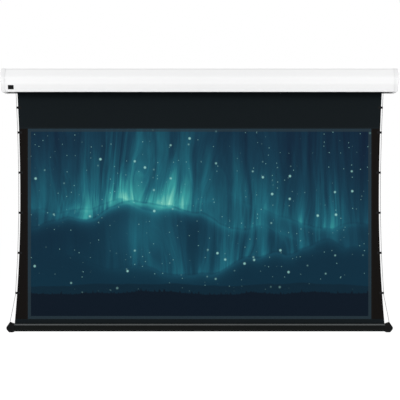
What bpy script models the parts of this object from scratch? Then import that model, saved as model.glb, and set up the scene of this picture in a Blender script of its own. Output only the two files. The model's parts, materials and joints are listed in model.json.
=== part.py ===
# Motor-driven projector screen whose cloth is kept flat by a tension cord down each side.
# Metres, +Z up. X runs along the screen, -Y faces the audience.
# The origin is on the back of the case where it meets the wall, in the middle of the case.

import math

import bmesh
import bpy
from mathutils import Vector

# Clearances
GAP = 0.0003
HALF_GAP = GAP / 2
CUT_MARGIN = 0.002

# Picture and cloth
PICTURE_WIDTH = 2.037
PICTURE_HEIGHT = 1.129
BLACK_DROP = 0.210
FOOT_MARGIN = 0.0268
SIDE_MARGIN = 0.0415
TOP_FLARE = 0.017
FOOT_FLARE = 0.034
WAIST_DROP = 0.630
SHEET_THICKNESS = 0.0006
EDGE_STEPS = 12

# Side tension
CORD_RADIUS = 0.0012
CORD_STANDOFF = 0.012
TAB_LENGTH = 0.028
TAB_HEIGHT = 0.013
TAB_STRAP = 0.0008
TAB_LOOP_CLEARANCE = 0.0004
TABS_ON_PICTURE = 5
TAB_TOP_INSET = 0.0225
TAB_FOOT_INSET = 0.1545
DROP_TAB_DROP = 0.085
CORD_LEAD_IN = 0.001

# Case section
CASE_HEIGHT = 0.140
CASE_DEPTH = 0.138
CASE_WALL = 0.0022
TOP_FLAT = 0.100
SHOULDER_DROP = 0.054
CHIN_DROP = 0.096
LIP_SETBACK = 0.0155
LIP_RETURN = 0.0105
REAR_FLANGE = 0.014
BACK_TOP_RADIUS = 0.005
EDGE_RADIUS = 0.003
TOP_RADIUS = 0.030
SHOULDER_RADIUS = 0.034
CHIN_RADIUS = 0.030
GROOVE_RISE = 0.012
GROOVE_WIDTH = 0.0015
GROOVE_DEPTH = 0.0009
CASE_END_ROOM = 0.030

# Hanging rail in the back of the case
RAIL_CENTRE_DROP = 0.031
RAIL_MOUTH = 0.028
RAIL_CHANNEL = 0.038
RAIL_LIP = 0.0022
RAIL_DEPTH = 0.012
RAIL_FLOOR = 0.0022

# Screw ribs inside the case
RIB_WIDTH = 0.009
RIB_HEIGHT = 0.011
RIB_REAR_Y = -0.030
RIB_FRONT_Y = -0.068
RIB_BACK_Z = -0.030
RIB_HOLE_FROM_TIP = 0.0035
RIB_HOLE_DEPTH = 0.020

# Case screws
SCREW_RADIUS = 0.0018
SCREW_HEAD_RADIUS = 0.0038
SCREW_HEAD_HEIGHT = 0.0024
SCREW_BITE = 0.012
HEX_RADIUS = 0.0014

# End caps and end plates
PLATE_THICKNESS = 0.0025
END_CAP_LENGTH = 0.0289
END_CAP_PROUD = 0.0012
END_CAP_CAVITY_INSET = 0.0016
END_CAP_WALL = 0.003
DOME_DEPTH = 0.016
DOME_STEPS = 5
DOME_TOP = 0.0036
DOME_SLOPE = 0.011
DOME_FRONT = 0.018
DOME_CHIN = 0.026
DOME_BOTTOM = 0.030
PILLAR_WALL = 0.003
COUNTERBORE_DEPTH = 0.006

# Roller
ROLLER_DEPTH = 0.070
ROLLER_RISE = 0.005
TUBE_RADIUS = 0.038
TUBE_WALL = 0.0016
ROLLER_OVERHANG = 0.017
TURNS_LEFT = 0.0022
ROUND_STEPS = 28
SPOOL_WIDTH = 0.014
SPOOL_WALL = 0.0013
SPOOL_RIM = 0.0029
SPOOL_GROOVE = 0.006
SPOOL_SLOPE = 0.001
FLANGE_RISE = 0.0005
FLANGE_WIDTH = 0.0027
PLUG_LENGTH = 0.040

# Drive
MOTOR_RADIUS = 0.0225
MOTOR_LENGTH = 0.510
MOTOR_HEAD_RADIUS = 0.024
HEAD_GAP = 0.001
HEAD_BOSS = 0.002
HEAD_EASING = 0.002
CROWN_CLEARANCE = 0.0006
CROWN_LENGTH = 0.016
SHAFT_RADIUS = 0.006
WHEEL_OFFSET = 0.004
WHEEL_WIDTH = 0.021
SHAFT_STICKOUT = 0.028
BEARING_RADIUS = 0.014
BEARING_WIDTH = 0.0095
HOUSING_WALL = 0.0037
HOUSING_FOOT = 0.003
HOUSING_FLANGE = 0.006
PIN_SEAT = 0.036

# Power inlet, receiver and their lead
INLET_FROM_END = 0.076
INLET_WIDTH = 0.029
INLET_DEPTH = 0.017
INLET_Y = -0.049
INLET_BODY = 0.012
INLET_FLANGE_LIP = 0.003
INLET_FLANGE = 0.002
INLET_RECESS = 0.0035
INLET_CORNER = 0.002
INLET_LOBE_RADIUS = 0.0055
INLET_PIN_RADIUS = 0.0012
INLET_PIN_PITCH = 0.0085
INLET_PIN_SINK = 0.0005
RECEIVER_LENGTH = 0.150
RECEIVER_WIDTH = 0.0217
RECEIVER_HEIGHT = 0.012
RECEIVER_FROM_TOP = 0.006
RECEIVER_FROM_END = 0.086
RECEIVER_CORNER = 0.0015
LEAD_RADIUS = 0.003
LEAD_DROP = 0.0072
LEAD_RISE = 0.0092
LEAD_OFFSET = 0.006
LEAD_BEND = 0.004

# Hanging plates
HANGER_FROM_END = 0.336
HANGER_LENGTH = 0.070
HANGER_THICKNESS = 0.003
HANGER_CORNER = 0.003
HANGER_PLAY = 0.0005
KEYHOLE_RADIUS = 0.005
KEYHOLE_SLOT = 0.0055
KEYHOLE_RISE = 0.014
KEYHOLE_DROP = 0.006
CLAMP_OFFSET = 0.024
CLAMP_HEAD_RADIUS = 0.0045
CLAMP_HEAD_HEIGHT = 0.0018

# Bottom bar
BAR_HEIGHT = 0.046
BAR_DEPTH = 0.026
BAR_WALL = 0.002
BAR_OVERHANG = 0.004
BAR_TOP_CORNER = 0.005
BAR_FOOT_CORNER = 0.004
BAR_SLOT = 0.0032
SPLINE_DROP = 0.0095
SPLINE_CHANNEL = 0.0045
SPLINE_END_SETBACK = 0.004
BAR_CHAMBER_TOP = 0.018
CHAMBER_CORNER = 0.002
BAR_GROOVE_DROP = 0.0325
BAR_GROOVE_WIDTH = 0.001
BAR_GROOVE_DEPTH = 0.0006

# Bar end caps
CAP_BODY_DEPTH = 0.029
CAP_EASING = 0.0025
CAP_LIP = 0.0005
CAP_FOOT = 0.005
CAP_CHAMFER = 0.006
CAP_NOSE = 0.0477
CAP_NOSE_DROP = 0.002
CAP_SHOULDER_BACK = 0.005
CAP_SHOULDER_RISE = 0.010
CAP_HEEL_RISE = 0.012
CAP_FOOT_LENGTH = 0.030
CAP_HEEL = 0.002
CAP_ROUND = 0.004
CAP_EDGE = 0.0008
EAR_ROUND = 0.0015
EAR_RISE = 0.010
EAR_DEPTH = 0.016
SPIGOT_LENGTH = 0.018
EAR_HOLE_CLEARANCE = 0.0006

# Cord adjusters
ADJUSTER_FROM_BAR = 0.0195
ADJUSTER_DROP = 0.004
ADJUSTER_DISC_RADIUS = 0.0087
ADJUSTER_DISC = 0.0085
ADJUSTER_PROUD = 0.001
ADJUSTER_EASING = 0.0008
ADJUSTER_CORE_RADIUS = 0.005
ADJUSTER_CORE = 0.0097
DRIVER_SLOT_WIDTH = 0.0016
DRIVER_SLOT_LENGTH = 0.012
DRIVER_SLOT_DEPTH = 0.0018

# Bar cap screws
BAR_SCREW_RADIUS = 0.0015
BAR_SCREW_HEAD_RADIUS = 0.0033
BAR_SCREW_HEAD_HEIGHT = 0.0018
BAR_SCREW_LENGTH = 0.008
BAR_SCREW_INSET = 0.008
BAR_SCREW_DROP = 0.012

# Places worked out from the sizes above
CASE_TOP = CASE_HEIGHT / 2
CASE_FOOT = -CASE_HEIGHT / 2
PICTURE_HALF = PICTURE_WIDTH / 2
PICTURE_TOP = CASE_FOOT - BLACK_DROP
PICTURE_FOOT = PICTURE_TOP - PICTURE_HEIGHT
BAR_TOP = PICTURE_FOOT - FOOT_MARGIN
BAR_Z = BAR_TOP - BAR_HEIGHT / 2
WAIST_Z = CASE_FOOT - WAIST_DROP
WAIST_HALF = PICTURE_HALF + SIDE_MARGIN
TOP_HALF = WAIST_HALF + TOP_FLARE
FOOT_HALF = WAIST_HALF + FOOT_FLARE
ROLL_RADIUS = TUBE_RADIUS + GAP + TURNS_LEFT
ROLLER_Y = -ROLLER_DEPTH
ROLLER_Z = ROLLER_RISE
CLOTH_Y = ROLLER_Y + ROLL_RADIUS + GAP + SHEET_THICKNESS / 2
SPOOL_X = TOP_HALF + CORD_STANDOFF
TUBE_HALF = SPOOL_X + ROLLER_OVERHANG
CASE_HALF = TUBE_HALF + CASE_END_ROOM
INLET_X = CASE_HALF - INLET_FROM_END
RECEIVER_X = CASE_HALF - RECEIVER_FROM_END
HANGER_X = CASE_HALF - HANGER_FROM_END
PLATE_IN = CASE_HALF + GAP
PLATE_OUT = PLATE_IN + PLATE_THICKNESS
CAP_IN = PLATE_OUT + GAP
CAP_OUT = CAP_IN + END_CAP_LENGTH
FLANGE_IN = TUBE_HALF + GAP
FLANGE_OUT = FLANGE_IN + FLANGE_WIDTH
FLANGE_RADIUS = TUBE_RADIUS + FLANGE_RISE
BORE_RADIUS = TUBE_RADIUS - TUBE_WALL
BAR_HALF = FOOT_HALF + BAR_OVERHANG
BAR_CAP_IN = BAR_HALF + GAP
ADJUSTER_X = BAR_HALF + ADJUSTER_FROM_BAR
EAR_X = ADJUSTER_X + ADJUSTER_CORE_RADIUS + GAP + CORD_RADIUS
SPLINE_Z = BAR_HEIGHT / 2 - SPLINE_DROP
SPLINE_RADIUS = SPLINE_CHANNEL - GAP
CLOTH_FOOT = BAR_Z + SPLINE_Z + SPLINE_CHANNEL
RAIL_Z = CASE_TOP - RAIL_CENTRE_DROP
RIB_HOLE_Z = CASE_TOP - CASE_WALL - RIB_HEIGHT + RIB_HOLE_FROM_TIP
RIB_HOLE_Y = -CASE_WALL - RIB_HEIGHT + RIB_HOLE_FROM_TIP
SCREW_PLACES = ((RIB_REAR_Y, RIB_HOLE_Z), (RIB_FRONT_Y, RIB_HOLE_Z), (RIB_HOLE_Y, RIB_BACK_Z))
SIDES = (("left", -1), ("right", 1))

# Colours are linear; each finish is colour, roughness, metallic
WHITE_PAINT = ((0.80, 0.80, 0.80), 0.35, 0.0)
WHITE_PLASTIC = ((0.78, 0.78, 0.78), 0.42, 0.0)
ZINC_STEEL = ((0.55, 0.56, 0.57), 0.38, 1.0)
BARE_ALUMINIUM = ((0.66, 0.67, 0.68), 0.34, 1.0)
MOTOR_PAINT = ((0.42, 0.43, 0.44), 0.40, 0.6)
BLACK_PLASTIC = ((0.012, 0.012, 0.013), 0.45, 0.0)
GREY_PLASTIC = ((0.09, 0.09, 0.095), 0.50, 0.0)
BLACK_ALUMINIUM = ((0.009, 0.010, 0.010), 0.32, 0.4)
BLACK_CLOTH = ((0.009, 0.011, 0.012), 0.62, 0.0)
MASK_CLOTH = ((0.011, 0.009, 0.008), 0.62, 0.0)
PICTURE_CLOTH = ((0.008, 0.060, 0.085), 0.55, 0.0)
TAB_TAPE = ((0.016, 0.016, 0.017), 0.60, 0.0)
CORD_FINISH = ((0.16, 0.16, 0.165), 0.60, 0.0)


# Scene helpers
def clear_scene():
    for obj in list(bpy.data.objects):
        bpy.data.objects.remove(obj, do_unlink=True)


def empty(name, location):
    frame = bpy.data.objects.new(name, None)
    frame.empty_display_size = 0.05
    frame.location = location
    bpy.context.scene.collection.objects.link(frame)
    return frame


def dress(obj, finish):
    colour, roughness, metallic = finish
    material = bpy.data.materials.new(obj.name + "_finish")
    material.use_nodes = True
    shader = material.node_tree.nodes["Principled BSDF"]
    shader.inputs["Base Color"].default_value = (*colour, 1.0)
    shader.inputs["Roughness"].default_value = roughness
    shader.inputs["Metallic"].default_value = metallic
    material.diffuse_color = (*colour, 1.0)
    obj.data.materials.append(material)


def place(name, data, parent, location):
    obj = bpy.data.objects.new(name, data)
    obj.parent = parent
    obj.location = location
    bpy.context.scene.collection.objects.link(obj)
    return obj


def mesh_of(name, shape, side):
    if side < 0:
        bmesh.ops.scale(shape, vec=(-1, 1, 1), verts=shape.verts)
    bmesh.ops.recalc_face_normals(shape, faces=shape.faces)
    mesh = bpy.data.meshes.new(name)
    shape.to_mesh(mesh)
    shape.free()
    return mesh


def piece(name, shape, finish, parent, location=(0, 0, 0), side=1):
    mesh = mesh_of(name, shape, side)
    mesh.shade_smooth()
    mesh.set_sharp_from_angle(angle=math.radians(28))
    obj = place(name, mesh, parent, location)
    dress(obj, finish)
    return obj


def combine(obj, operation, label, shape, side=1):
    tool = place(f"{obj.name}_{label}", mesh_of(label, shape, side), obj.parent, obj.location)
    tool.hide_render = True
    tool.display_type = "WIRE"
    modifier = obj.modifiers.new(label, "BOOLEAN")
    modifier.operation = operation
    modifier.solver = "EXACT"
    modifier.object = tool


# Outlines in a plane
def turn_between(before, corner, after):
    incoming = (corner - before).normalized()
    outgoing = (after - corner).normalized()
    angle = math.atan2(incoming.x * outgoing.y - incoming.y * outgoing.x, incoming.dot(outgoing))
    return incoming, outgoing, angle


def rounded(corners, step=math.radians(11)):
    """The closed outline through corners (u, v, radius), each turned by an arc of its radius."""
    outline = []
    for i, (u, v, radius) in enumerate(corners):
        corner = Vector((u, v))
        before = Vector(corners[i - 1][:2])
        after = Vector(corners[(i + 1) % len(corners)][:2])
        incoming, outgoing, turn = turn_between(before, corner, after)
        if radius <= 0 or abs(turn) < 1e-6:
            outline.append((u, v))
            continue
        start = corner - incoming * radius * math.tan(abs(turn) / 2)
        inward = Vector((-incoming.y, incoming.x)) * math.copysign(1, turn)
        centre = start + inward * radius
        count = max(2, round(abs(turn) / step))
        for k in range(count + 1):
            angle = turn * k / count
            spoke = start - centre
            outline.append(
                (
                    centre.x + spoke.x * math.cos(angle) - spoke.y * math.sin(angle),
                    centre.y + spoke.x * math.sin(angle) + spoke.y * math.cos(angle),
                )
            )
    return outline


def inset_corners(corners, insets, least=0.0006):
    """Corners of a counter-clockwise outline whose edge i, from corner i on, moves in by insets[i]."""
    lines = []
    for i, (u, v, _) in enumerate(corners):
        start = Vector((u, v))
        along = (Vector(corners[(i + 1) % len(corners)][:2]) - start).normalized()
        lines.append((start + Vector((-along.y, along.x)) * insets[i], along))
    moved = []
    for i, (_, _, radius) in enumerate(corners):
        (p, d), (q, e) = lines[i - 1], lines[i]
        cross = d.x * e.y - d.y * e.x
        reach = ((q.x - p.x) * e.y - (q.y - p.y) * e.x) / cross
        corner = p + d * reach
        moved.append((corner.x, corner.y, max(radius - (insets[i - 1] + insets[i]) / 2, least)))
    return moved


def ring(radius, steps, centre=(0, 0), start=0.0, sweep=math.tau):
    count = steps if sweep == math.tau else steps + 1
    return [
        (
            centre[0] + radius * math.cos(start + sweep * k / steps),
            centre[1] + radius * math.sin(start + sweep * k / steps),
        )
        for k in range(count)
    ]


def box_outline(u0, u1, v0, v1):
    return [(u0, v0), (u1, v0), (u1, v1), (u0, v1)]


# Solids from outlines
def to_space(axis, along, u, v):
    return {"X": (along, u, v), "Y": (u, along, v), "Z": (u, v, along)}[axis]


def loft(shape, axis, sections):
    """A solid through sections (along, outline), all with as many points."""
    rings = [
        [shape.verts.new(to_space(axis, along, u, v)) for u, v in outline]
        for along, outline in sections
    ]
    for first, second in zip(rings, rings[1:]):
        for i in range(len(first)):
            j = (i + 1) % len(first)
            shape.faces.new((first[i], first[j], second[j], second[i]))
    shape.faces.new(rings[0])
    shape.faces.new(rings[-1])


def prism(shape, axis, outline, start, end):
    loft(shape, axis, [(start, outline), (end, outline)])


def turned(shape, axis, centre, profile, steps, closed=False):
    """A solid turned about an axis through centre, from profile points (along, radius)."""
    rings = [
        [shape.verts.new(to_space(axis, along, u, v)) for u, v in ring(radius, steps, centre)]
        for along, radius in profile
    ]
    pairs = list(zip(rings, rings[1:]))
    if closed:
        pairs.append((rings[-1], rings[0]))
    for first, second in pairs:
        for i in range(steps):
            j = (i + 1) % steps
            shape.faces.new((first[i], first[j], second[j], second[i]))
    if not closed:
        shape.faces.new(rings[0])
        shape.faces.new(rings[-1])


def prism_solid(axis, outline, start, end):
    shape = bmesh.new()
    prism(shape, axis, outline, start, end)
    return shape


def turned_solid(axis, centre, profile, steps, closed=False):
    shape = bmesh.new()
    turned(shape, axis, centre, profile, steps, closed)
    return shape


# Case section
def case_corners():
    """The case's outside in (y, z), counter-clockwise from the foot of its back."""
    return [
        (0.0, CASE_FOOT, EDGE_RADIUS),
        (0.0, CASE_TOP, BACK_TOP_RADIUS),
        (-TOP_FLAT, CASE_TOP, TOP_RADIUS),
        (-CASE_DEPTH, CASE_TOP - SHOULDER_DROP, SHOULDER_RADIUS),
        (-CASE_DEPTH, CASE_TOP - CHIN_DROP, CHIN_RADIUS),
        (-CASE_DEPTH + LIP_SETBACK, CASE_FOOT, EDGE_RADIUS),
    ]


def rail_corners(depth_side):
    """The hanging rail in the back wall: its open channel, or the box that the metal makes round it."""
    if depth_side == "outside":
        mouth_low = RAIL_Z - RAIL_MOUTH / 2
        mouth_high = RAIL_Z + RAIL_MOUTH / 2
        low = RAIL_Z - RAIL_CHANNEL / 2
        high = RAIL_Z + RAIL_CHANNEL / 2
        return [
            (0.0, mouth_low, 0),
            (-RAIL_LIP, mouth_low, 0),
            (-RAIL_LIP, low, 0),
            (-RAIL_DEPTH, low, 0),
            (-RAIL_DEPTH, high, 0),
            (-RAIL_LIP, high, 0),
            (-RAIL_LIP, mouth_high, 0),
            (0.0, mouth_high, 0),
        ]
    low = RAIL_Z - RAIL_CHANNEL / 2 - RAIL_FLOOR
    high = RAIL_Z + RAIL_CHANNEL / 2 + RAIL_FLOOR
    floor = -RAIL_DEPTH - RAIL_FLOOR
    return [(-CASE_WALL, high, 0), (floor, high, 0), (floor, low, 0), (-CASE_WALL, low, 0)]


def groove_corners(chin, lip):
    """A shadow groove along the sloping chin, just above its lip."""
    top, foot = Vector(chin[:2]), Vector(lip[:2])
    along = (foot - top).normalized()
    inward = Vector((-along.y, along.x)) * GROOVE_DEPTH
    start = top + along * ((top.y - (CASE_FOOT + GROOVE_RISE + GROOVE_WIDTH)) / -along.y)
    end = top + along * ((top.y - (CASE_FOOT + GROOVE_RISE)) / -along.y)
    return [(*start, 0), (*(start + inward), 0), (*(end + inward), 0), (*end, 0)]


def case_profile():
    outer = case_corners()
    inner = inset_corners(outer, [CASE_WALL] * len(outer))
    wall_top = CASE_TOP - CASE_WALL
    rib = RIB_WIDTH / 2
    lip_tip = -CASE_DEPTH + LIP_SETBACK + LIP_RETURN
    profile = [(-REAR_FLANGE, CASE_FOOT, 0), outer[0]]
    profile += rail_corners("outside")
    profile += [outer[1], outer[2], outer[3], outer[4]]
    profile += groove_corners(outer[4], outer[5])
    profile += [outer[5], (lip_tip, CASE_FOOT, 0), (lip_tip, CASE_FOOT + CASE_WALL, 0)]
    profile += [inner[5], inner[4], inner[3], inner[2]]
    for y in (RIB_FRONT_Y, RIB_REAR_Y):
        profile += [
            (y - rib, wall_top, 0),
            (y - rib, wall_top - RIB_HEIGHT, 0),
            (y + rib, wall_top - RIB_HEIGHT, 0),
            (y + rib, wall_top, 0),
        ]
    profile.append(inner[1])
    profile += rail_corners("inside")
    profile += [
        (-CASE_WALL, RIB_BACK_Z + rib, 0),
        (-CASE_WALL - RIB_HEIGHT, RIB_BACK_Z + rib, 0),
        (-CASE_WALL - RIB_HEIGHT, RIB_BACK_Z - rib, 0),
        (-CASE_WALL, RIB_BACK_Z - rib, 0),
    ]
    profile += [inner[0], (-REAR_FLANGE, CASE_FOOT + CASE_WALL, 0)]
    return rounded(profile)


def build_case_shell(parent):
    shell = piece(
        "case_shell", prism_solid("X", case_profile(), -CASE_HALF, CASE_HALF), WHITE_PAINT, parent
    )
    cuts = bmesh.new()
    for _, side in SIDES:
        for y, z in SCREW_PLACES:
            hole = ring(SCREW_RADIUS + GAP, 10, (y, z))
            outside = side * (CASE_HALF + CUT_MARGIN)
            prism(cuts, "X", hole, outside, side * (CASE_HALF - RIB_HOLE_DEPTH))
    opening = box_outline(
        -INLET_X - INLET_WIDTH / 2 - GAP,
        -INLET_X + INLET_WIDTH / 2 + GAP,
        INLET_Y - INLET_DEPTH / 2 - GAP,
        INLET_Y + INLET_DEPTH / 2 + GAP,
    )
    prism(cuts, "Z", opening, CASE_TOP - CASE_WALL - CUT_MARGIN, CASE_TOP + CUT_MARGIN)
    combine(shell, "DIFFERENCE", "openings", cuts)


# Case ends
def build_end_plate(name, side, parent):
    outline = rounded(case_corners())
    plate = piece(
        name, prism_solid("X", outline, PLATE_IN, PLATE_OUT), WHITE_PAINT, parent, side=side
    )
    holes = bmesh.new()
    for y, z in SCREW_PLACES:
        hole = ring(SCREW_RADIUS + GAP, 10, (y, z))
        prism(holes, "X", hole, PLATE_IN - CUT_MARGIN, PLATE_OUT + CUT_MARGIN)
    combine(plate, "DIFFERENCE", "screw_holes", holes, side)


def dome_sections(base, lift, first):
    """Sections of the end cap's dome; base is the inset of its straight part, lift its wall at the end."""
    reach = [0, DOME_TOP, DOME_SLOPE, DOME_FRONT, DOME_CHIN, DOME_BOTTOM]
    start = CAP_OUT - DOME_DEPTH
    sections = []
    for k in range(DOME_STEPS + 1):
        angle = math.pi / 2 * k / DOME_STEPS
        insets = [flat + far * (1 - math.cos(angle)) for flat, far in zip(base, reach)]
        outline = rounded(inset_corners(case_corners(), insets), step=math.radians(16))
        if k == 0:
            sections.append((first, outline))
        sections.append((start + DOME_DEPTH * math.sin(angle) - lift, outline))
    return sections


def build_end_cap(name, side, parent):
    proud = [0.0] + [-END_CAP_PROUD] * (len(case_corners()) - 1)
    hollow = [END_CAP_CAVITY_INSET] * len(case_corners())
    shape = bmesh.new()
    loft(shape, "X", dome_sections(proud, 0.0, CAP_IN))
    cap = piece(name, shape, WHITE_PLASTIC, parent, side=side)
    cavity = bmesh.new()
    loft(cavity, "X", dome_sections(hollow, END_CAP_WALL, CAP_IN - CUT_MARGIN))
    combine(cap, "DIFFERENCE", "cavity", cavity, side)
    pillars, holes = bmesh.new(), bmesh.new()
    hole_radius = SCREW_RADIUS + GAP
    sink_radius = SCREW_HEAD_RADIUS + GAP
    sink = CAP_OUT - COUNTERBORE_DEPTH
    pillar_radius = hole_radius + PILLAR_WALL
    for y, z in SCREW_PLACES:
        outline = ring(pillar_radius, 14, (y, z))
        prism(pillars, "X", outline, CAP_IN, CAP_OUT - END_CAP_WALL / 2)
        turned(
            holes,
            "X",
            (y, z),
            [
                (PLATE_OUT - CUT_MARGIN, hole_radius),
                (sink, hole_radius),
                (sink, sink_radius),
                (CAP_OUT + CUT_MARGIN, sink_radius),
            ],
            12,
        )
    combine(cap, "UNION", "pillars", pillars, side)
    combine(cap, "DIFFERENCE", "screw_holes", holes, side)


def screw(name, axis, centre, seat, inward, size, finish, parent, side=1):
    """A button-head screw: its head rests on seat, and its shank runs the way inward points."""
    head_radius, head_height, radius, length = size
    profile = [
        (seat - inward * head_height, head_radius * 0.6),
        (seat - inward * head_height * 0.4, head_radius),
        (seat, head_radius),
        (seat, radius),
        (seat + inward * length, radius),
    ]
    made = piece(name, turned_solid(axis, centre, profile, 10), finish, parent, side=side)
    socket = ring(HEX_RADIUS, 6, centre)
    top = seat - inward * (head_height + CUT_MARGIN)
    drive = prism_solid(axis, socket, top, seat - inward * head_height * 0.35)
    combine(made, "DIFFERENCE", "socket", drive, side)


def build_case_ends(parent):
    build_end_plate("motor_end_plate", -1, parent)
    build_end_plate("idler_end_plate", 1, parent)
    seat = CAP_OUT - COUNTERBORE_DEPTH + GAP
    size = (
        SCREW_HEAD_RADIUS,
        SCREW_HEAD_HEIGHT,
        SCREW_RADIUS,
        seat - CASE_HALF + SCREW_BITE,
    )
    for label, side in SIDES:
        build_end_cap(f"end_cap_{label}", side, parent)
        for i, place_yz in enumerate(SCREW_PLACES, 1):
            name = f"end_cap_screw_{label}_{i}"
            screw(name, "X", place_yz, seat, -1, size, ZINC_STEEL, parent, side)


# Roller, modelled about its own axis
def build_roller(parent):
    tube = [
        (-TUBE_HALF, BORE_RADIUS),
        (-TUBE_HALF, TUBE_RADIUS),
        (TUBE_HALF, TUBE_RADIUS),
        (TUBE_HALF, BORE_RADIUS),
    ]
    shape = turned_solid("X", (0, 0), tube, ROUND_STEPS, closed=True)
    piece("roller_tube", shape, BARE_ALUMINIUM, parent)
    wound = [
        (-TOP_HALF, TUBE_RADIUS + GAP),
        (-TOP_HALF, ROLL_RADIUS),
        (TOP_HALF, ROLL_RADIUS),
        (TOP_HALF, TUBE_RADIUS + GAP),
    ]
    shape = turned_solid("X", (0, 0), wound, ROUND_STEPS, closed=True)
    piece("fabric_roll", shape, BLACK_CLOTH, parent)


def build_cord_spool(name, side, parent):
    inside = TUBE_RADIUS + GAP
    floor = inside + SPOOL_WALL
    rim = floor + SPOOL_RIM
    low = SPOOL_X - SPOOL_WIDTH / 2
    high = SPOOL_X + SPOOL_WIDTH / 2
    profile = [
        (low, inside),
        (low, rim),
        (SPOOL_X - SPOOL_GROOVE / 2 - SPOOL_SLOPE, rim),
        (SPOOL_X - SPOOL_GROOVE / 2, floor),
        (SPOOL_X + SPOOL_GROOVE / 2, floor),
        (SPOOL_X + SPOOL_GROOVE / 2 + SPOOL_SLOPE, rim),
        (high, rim),
        (high, inside),
    ]
    shape = turned_solid("X", (0, 0), profile, ROUND_STEPS, closed=True)
    piece(name, shape, BLACK_PLASTIC, parent, side=side)


def build_drive(case, roller):
    head_in = FLANGE_OUT + HEAD_GAP
    body_in = head_in - GAP
    body_end = body_in - MOTOR_LENGTH
    crown_bore = MOTOR_RADIUS + CROWN_CLEARANCE
    axis = (ROLLER_Y, ROLLER_Z)
    head_out = PLATE_IN - GAP
    head = [
        (head_in, MOTOR_HEAD_RADIUS),
        (head_out - HEAD_BOSS - HEAD_EASING, MOTOR_HEAD_RADIUS),
        (head_out - HEAD_BOSS, MOTOR_HEAD_RADIUS - HEAD_EASING),
        (head_out, MOTOR_HEAD_RADIUS - HEAD_EASING),
    ]
    piece("motor_head", turned_solid("X", axis, head, 28), GREY_PLASTIC, case, side=-1)
    body = [(body_end, MOTOR_RADIUS), (body_in, MOTOR_RADIUS)]
    piece("motor_body", turned_solid("X", axis, body, 28), MOTOR_PAINT, case, side=-1)
    crown = [
        (TUBE_HALF - CROWN_LENGTH, crown_bore),
        (TUBE_HALF - CROWN_LENGTH, BORE_RADIUS - GAP),
        (FLANGE_IN, BORE_RADIUS - GAP),
        (FLANGE_IN, FLANGE_RADIUS),
        (FLANGE_OUT, FLANGE_RADIUS),
        (FLANGE_OUT, crown_bore),
    ]
    shape = turned_solid("X", (0, 0), crown, ROUND_STEPS, closed=True)
    piece("motor_crown", shape, BLACK_PLASTIC, roller, side=-1)
    shaft_end = body_end - GAP
    shaft = [(shaft_end, SHAFT_RADIUS), (shaft_end - SHAFT_STICKOUT, SHAFT_RADIUS)]
    piece("motor_shaft", turned_solid("X", (0, 0), shaft, 16), ZINC_STEEL, roller, side=-1)
    wheel_in = shaft_end - WHEEL_OFFSET
    wheel = [
        (wheel_in, SHAFT_RADIUS + GAP),
        (wheel_in, BORE_RADIUS - GAP),
        (wheel_in - WHEEL_WIDTH, BORE_RADIUS - GAP),
        (wheel_in - WHEEL_WIDTH, SHAFT_RADIUS + GAP),
    ]
    shape = turned_solid("X", (0, 0), wheel, ROUND_STEPS, closed=True)
    piece("drive_wheel", shape, BLACK_PLASTIC, roller, side=-1)


def build_idler(case, roller):
    bearing_out = PLATE_IN - GAP
    bearing_in = bearing_out - BEARING_WIDTH
    pin_in = FLANGE_OUT - PIN_SEAT
    plug = [
        (TUBE_HALF - PLUG_LENGTH, BORE_RADIUS - GAP),
        (FLANGE_IN, BORE_RADIUS - GAP),
        (FLANGE_IN, FLANGE_RADIUS),
        (FLANGE_OUT, FLANGE_RADIUS),
        (FLANGE_OUT, SHAFT_RADIUS + GAP),
        (pin_in, SHAFT_RADIUS + GAP),
    ]
    piece("idler_plug", turned_solid("X", (0, 0), plug, ROUND_STEPS), BLACK_PLASTIC, roller)
    pin = [(pin_in + GAP, SHAFT_RADIUS), (bearing_out - GAP, SHAFT_RADIUS)]
    piece("idler_pin", turned_solid("X", (0, 0), pin, 16), ZINC_STEEL, roller)
    axis = (ROLLER_Y, ROLLER_Z)
    bearing = [
        (bearing_in, SHAFT_RADIUS + GAP),
        (bearing_in, BEARING_RADIUS),
        (bearing_out, BEARING_RADIUS),
        (bearing_out, SHAFT_RADIUS + GAP),
    ]
    shape = turned_solid("X", axis, bearing, 24, closed=True)
    piece("idler_bearing", shape, ZINC_STEEL, case)
    bore = BEARING_RADIUS + GAP
    foot = bearing_out - HOUSING_FOOT
    housing = [
        (bearing_in, bore),
        (bearing_in, bore + HOUSING_WALL),
        (foot, bore + HOUSING_WALL),
        (foot, bore + HOUSING_WALL + HOUSING_FLANGE),
        (bearing_out, bore + HOUSING_WALL + HOUSING_FLANGE),
        (bearing_out, bore),
    ]
    shape = turned_solid("X", axis, housing, 24, closed=True)
    piece("idler_housing", shape, GREY_PLASTIC, case)


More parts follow.
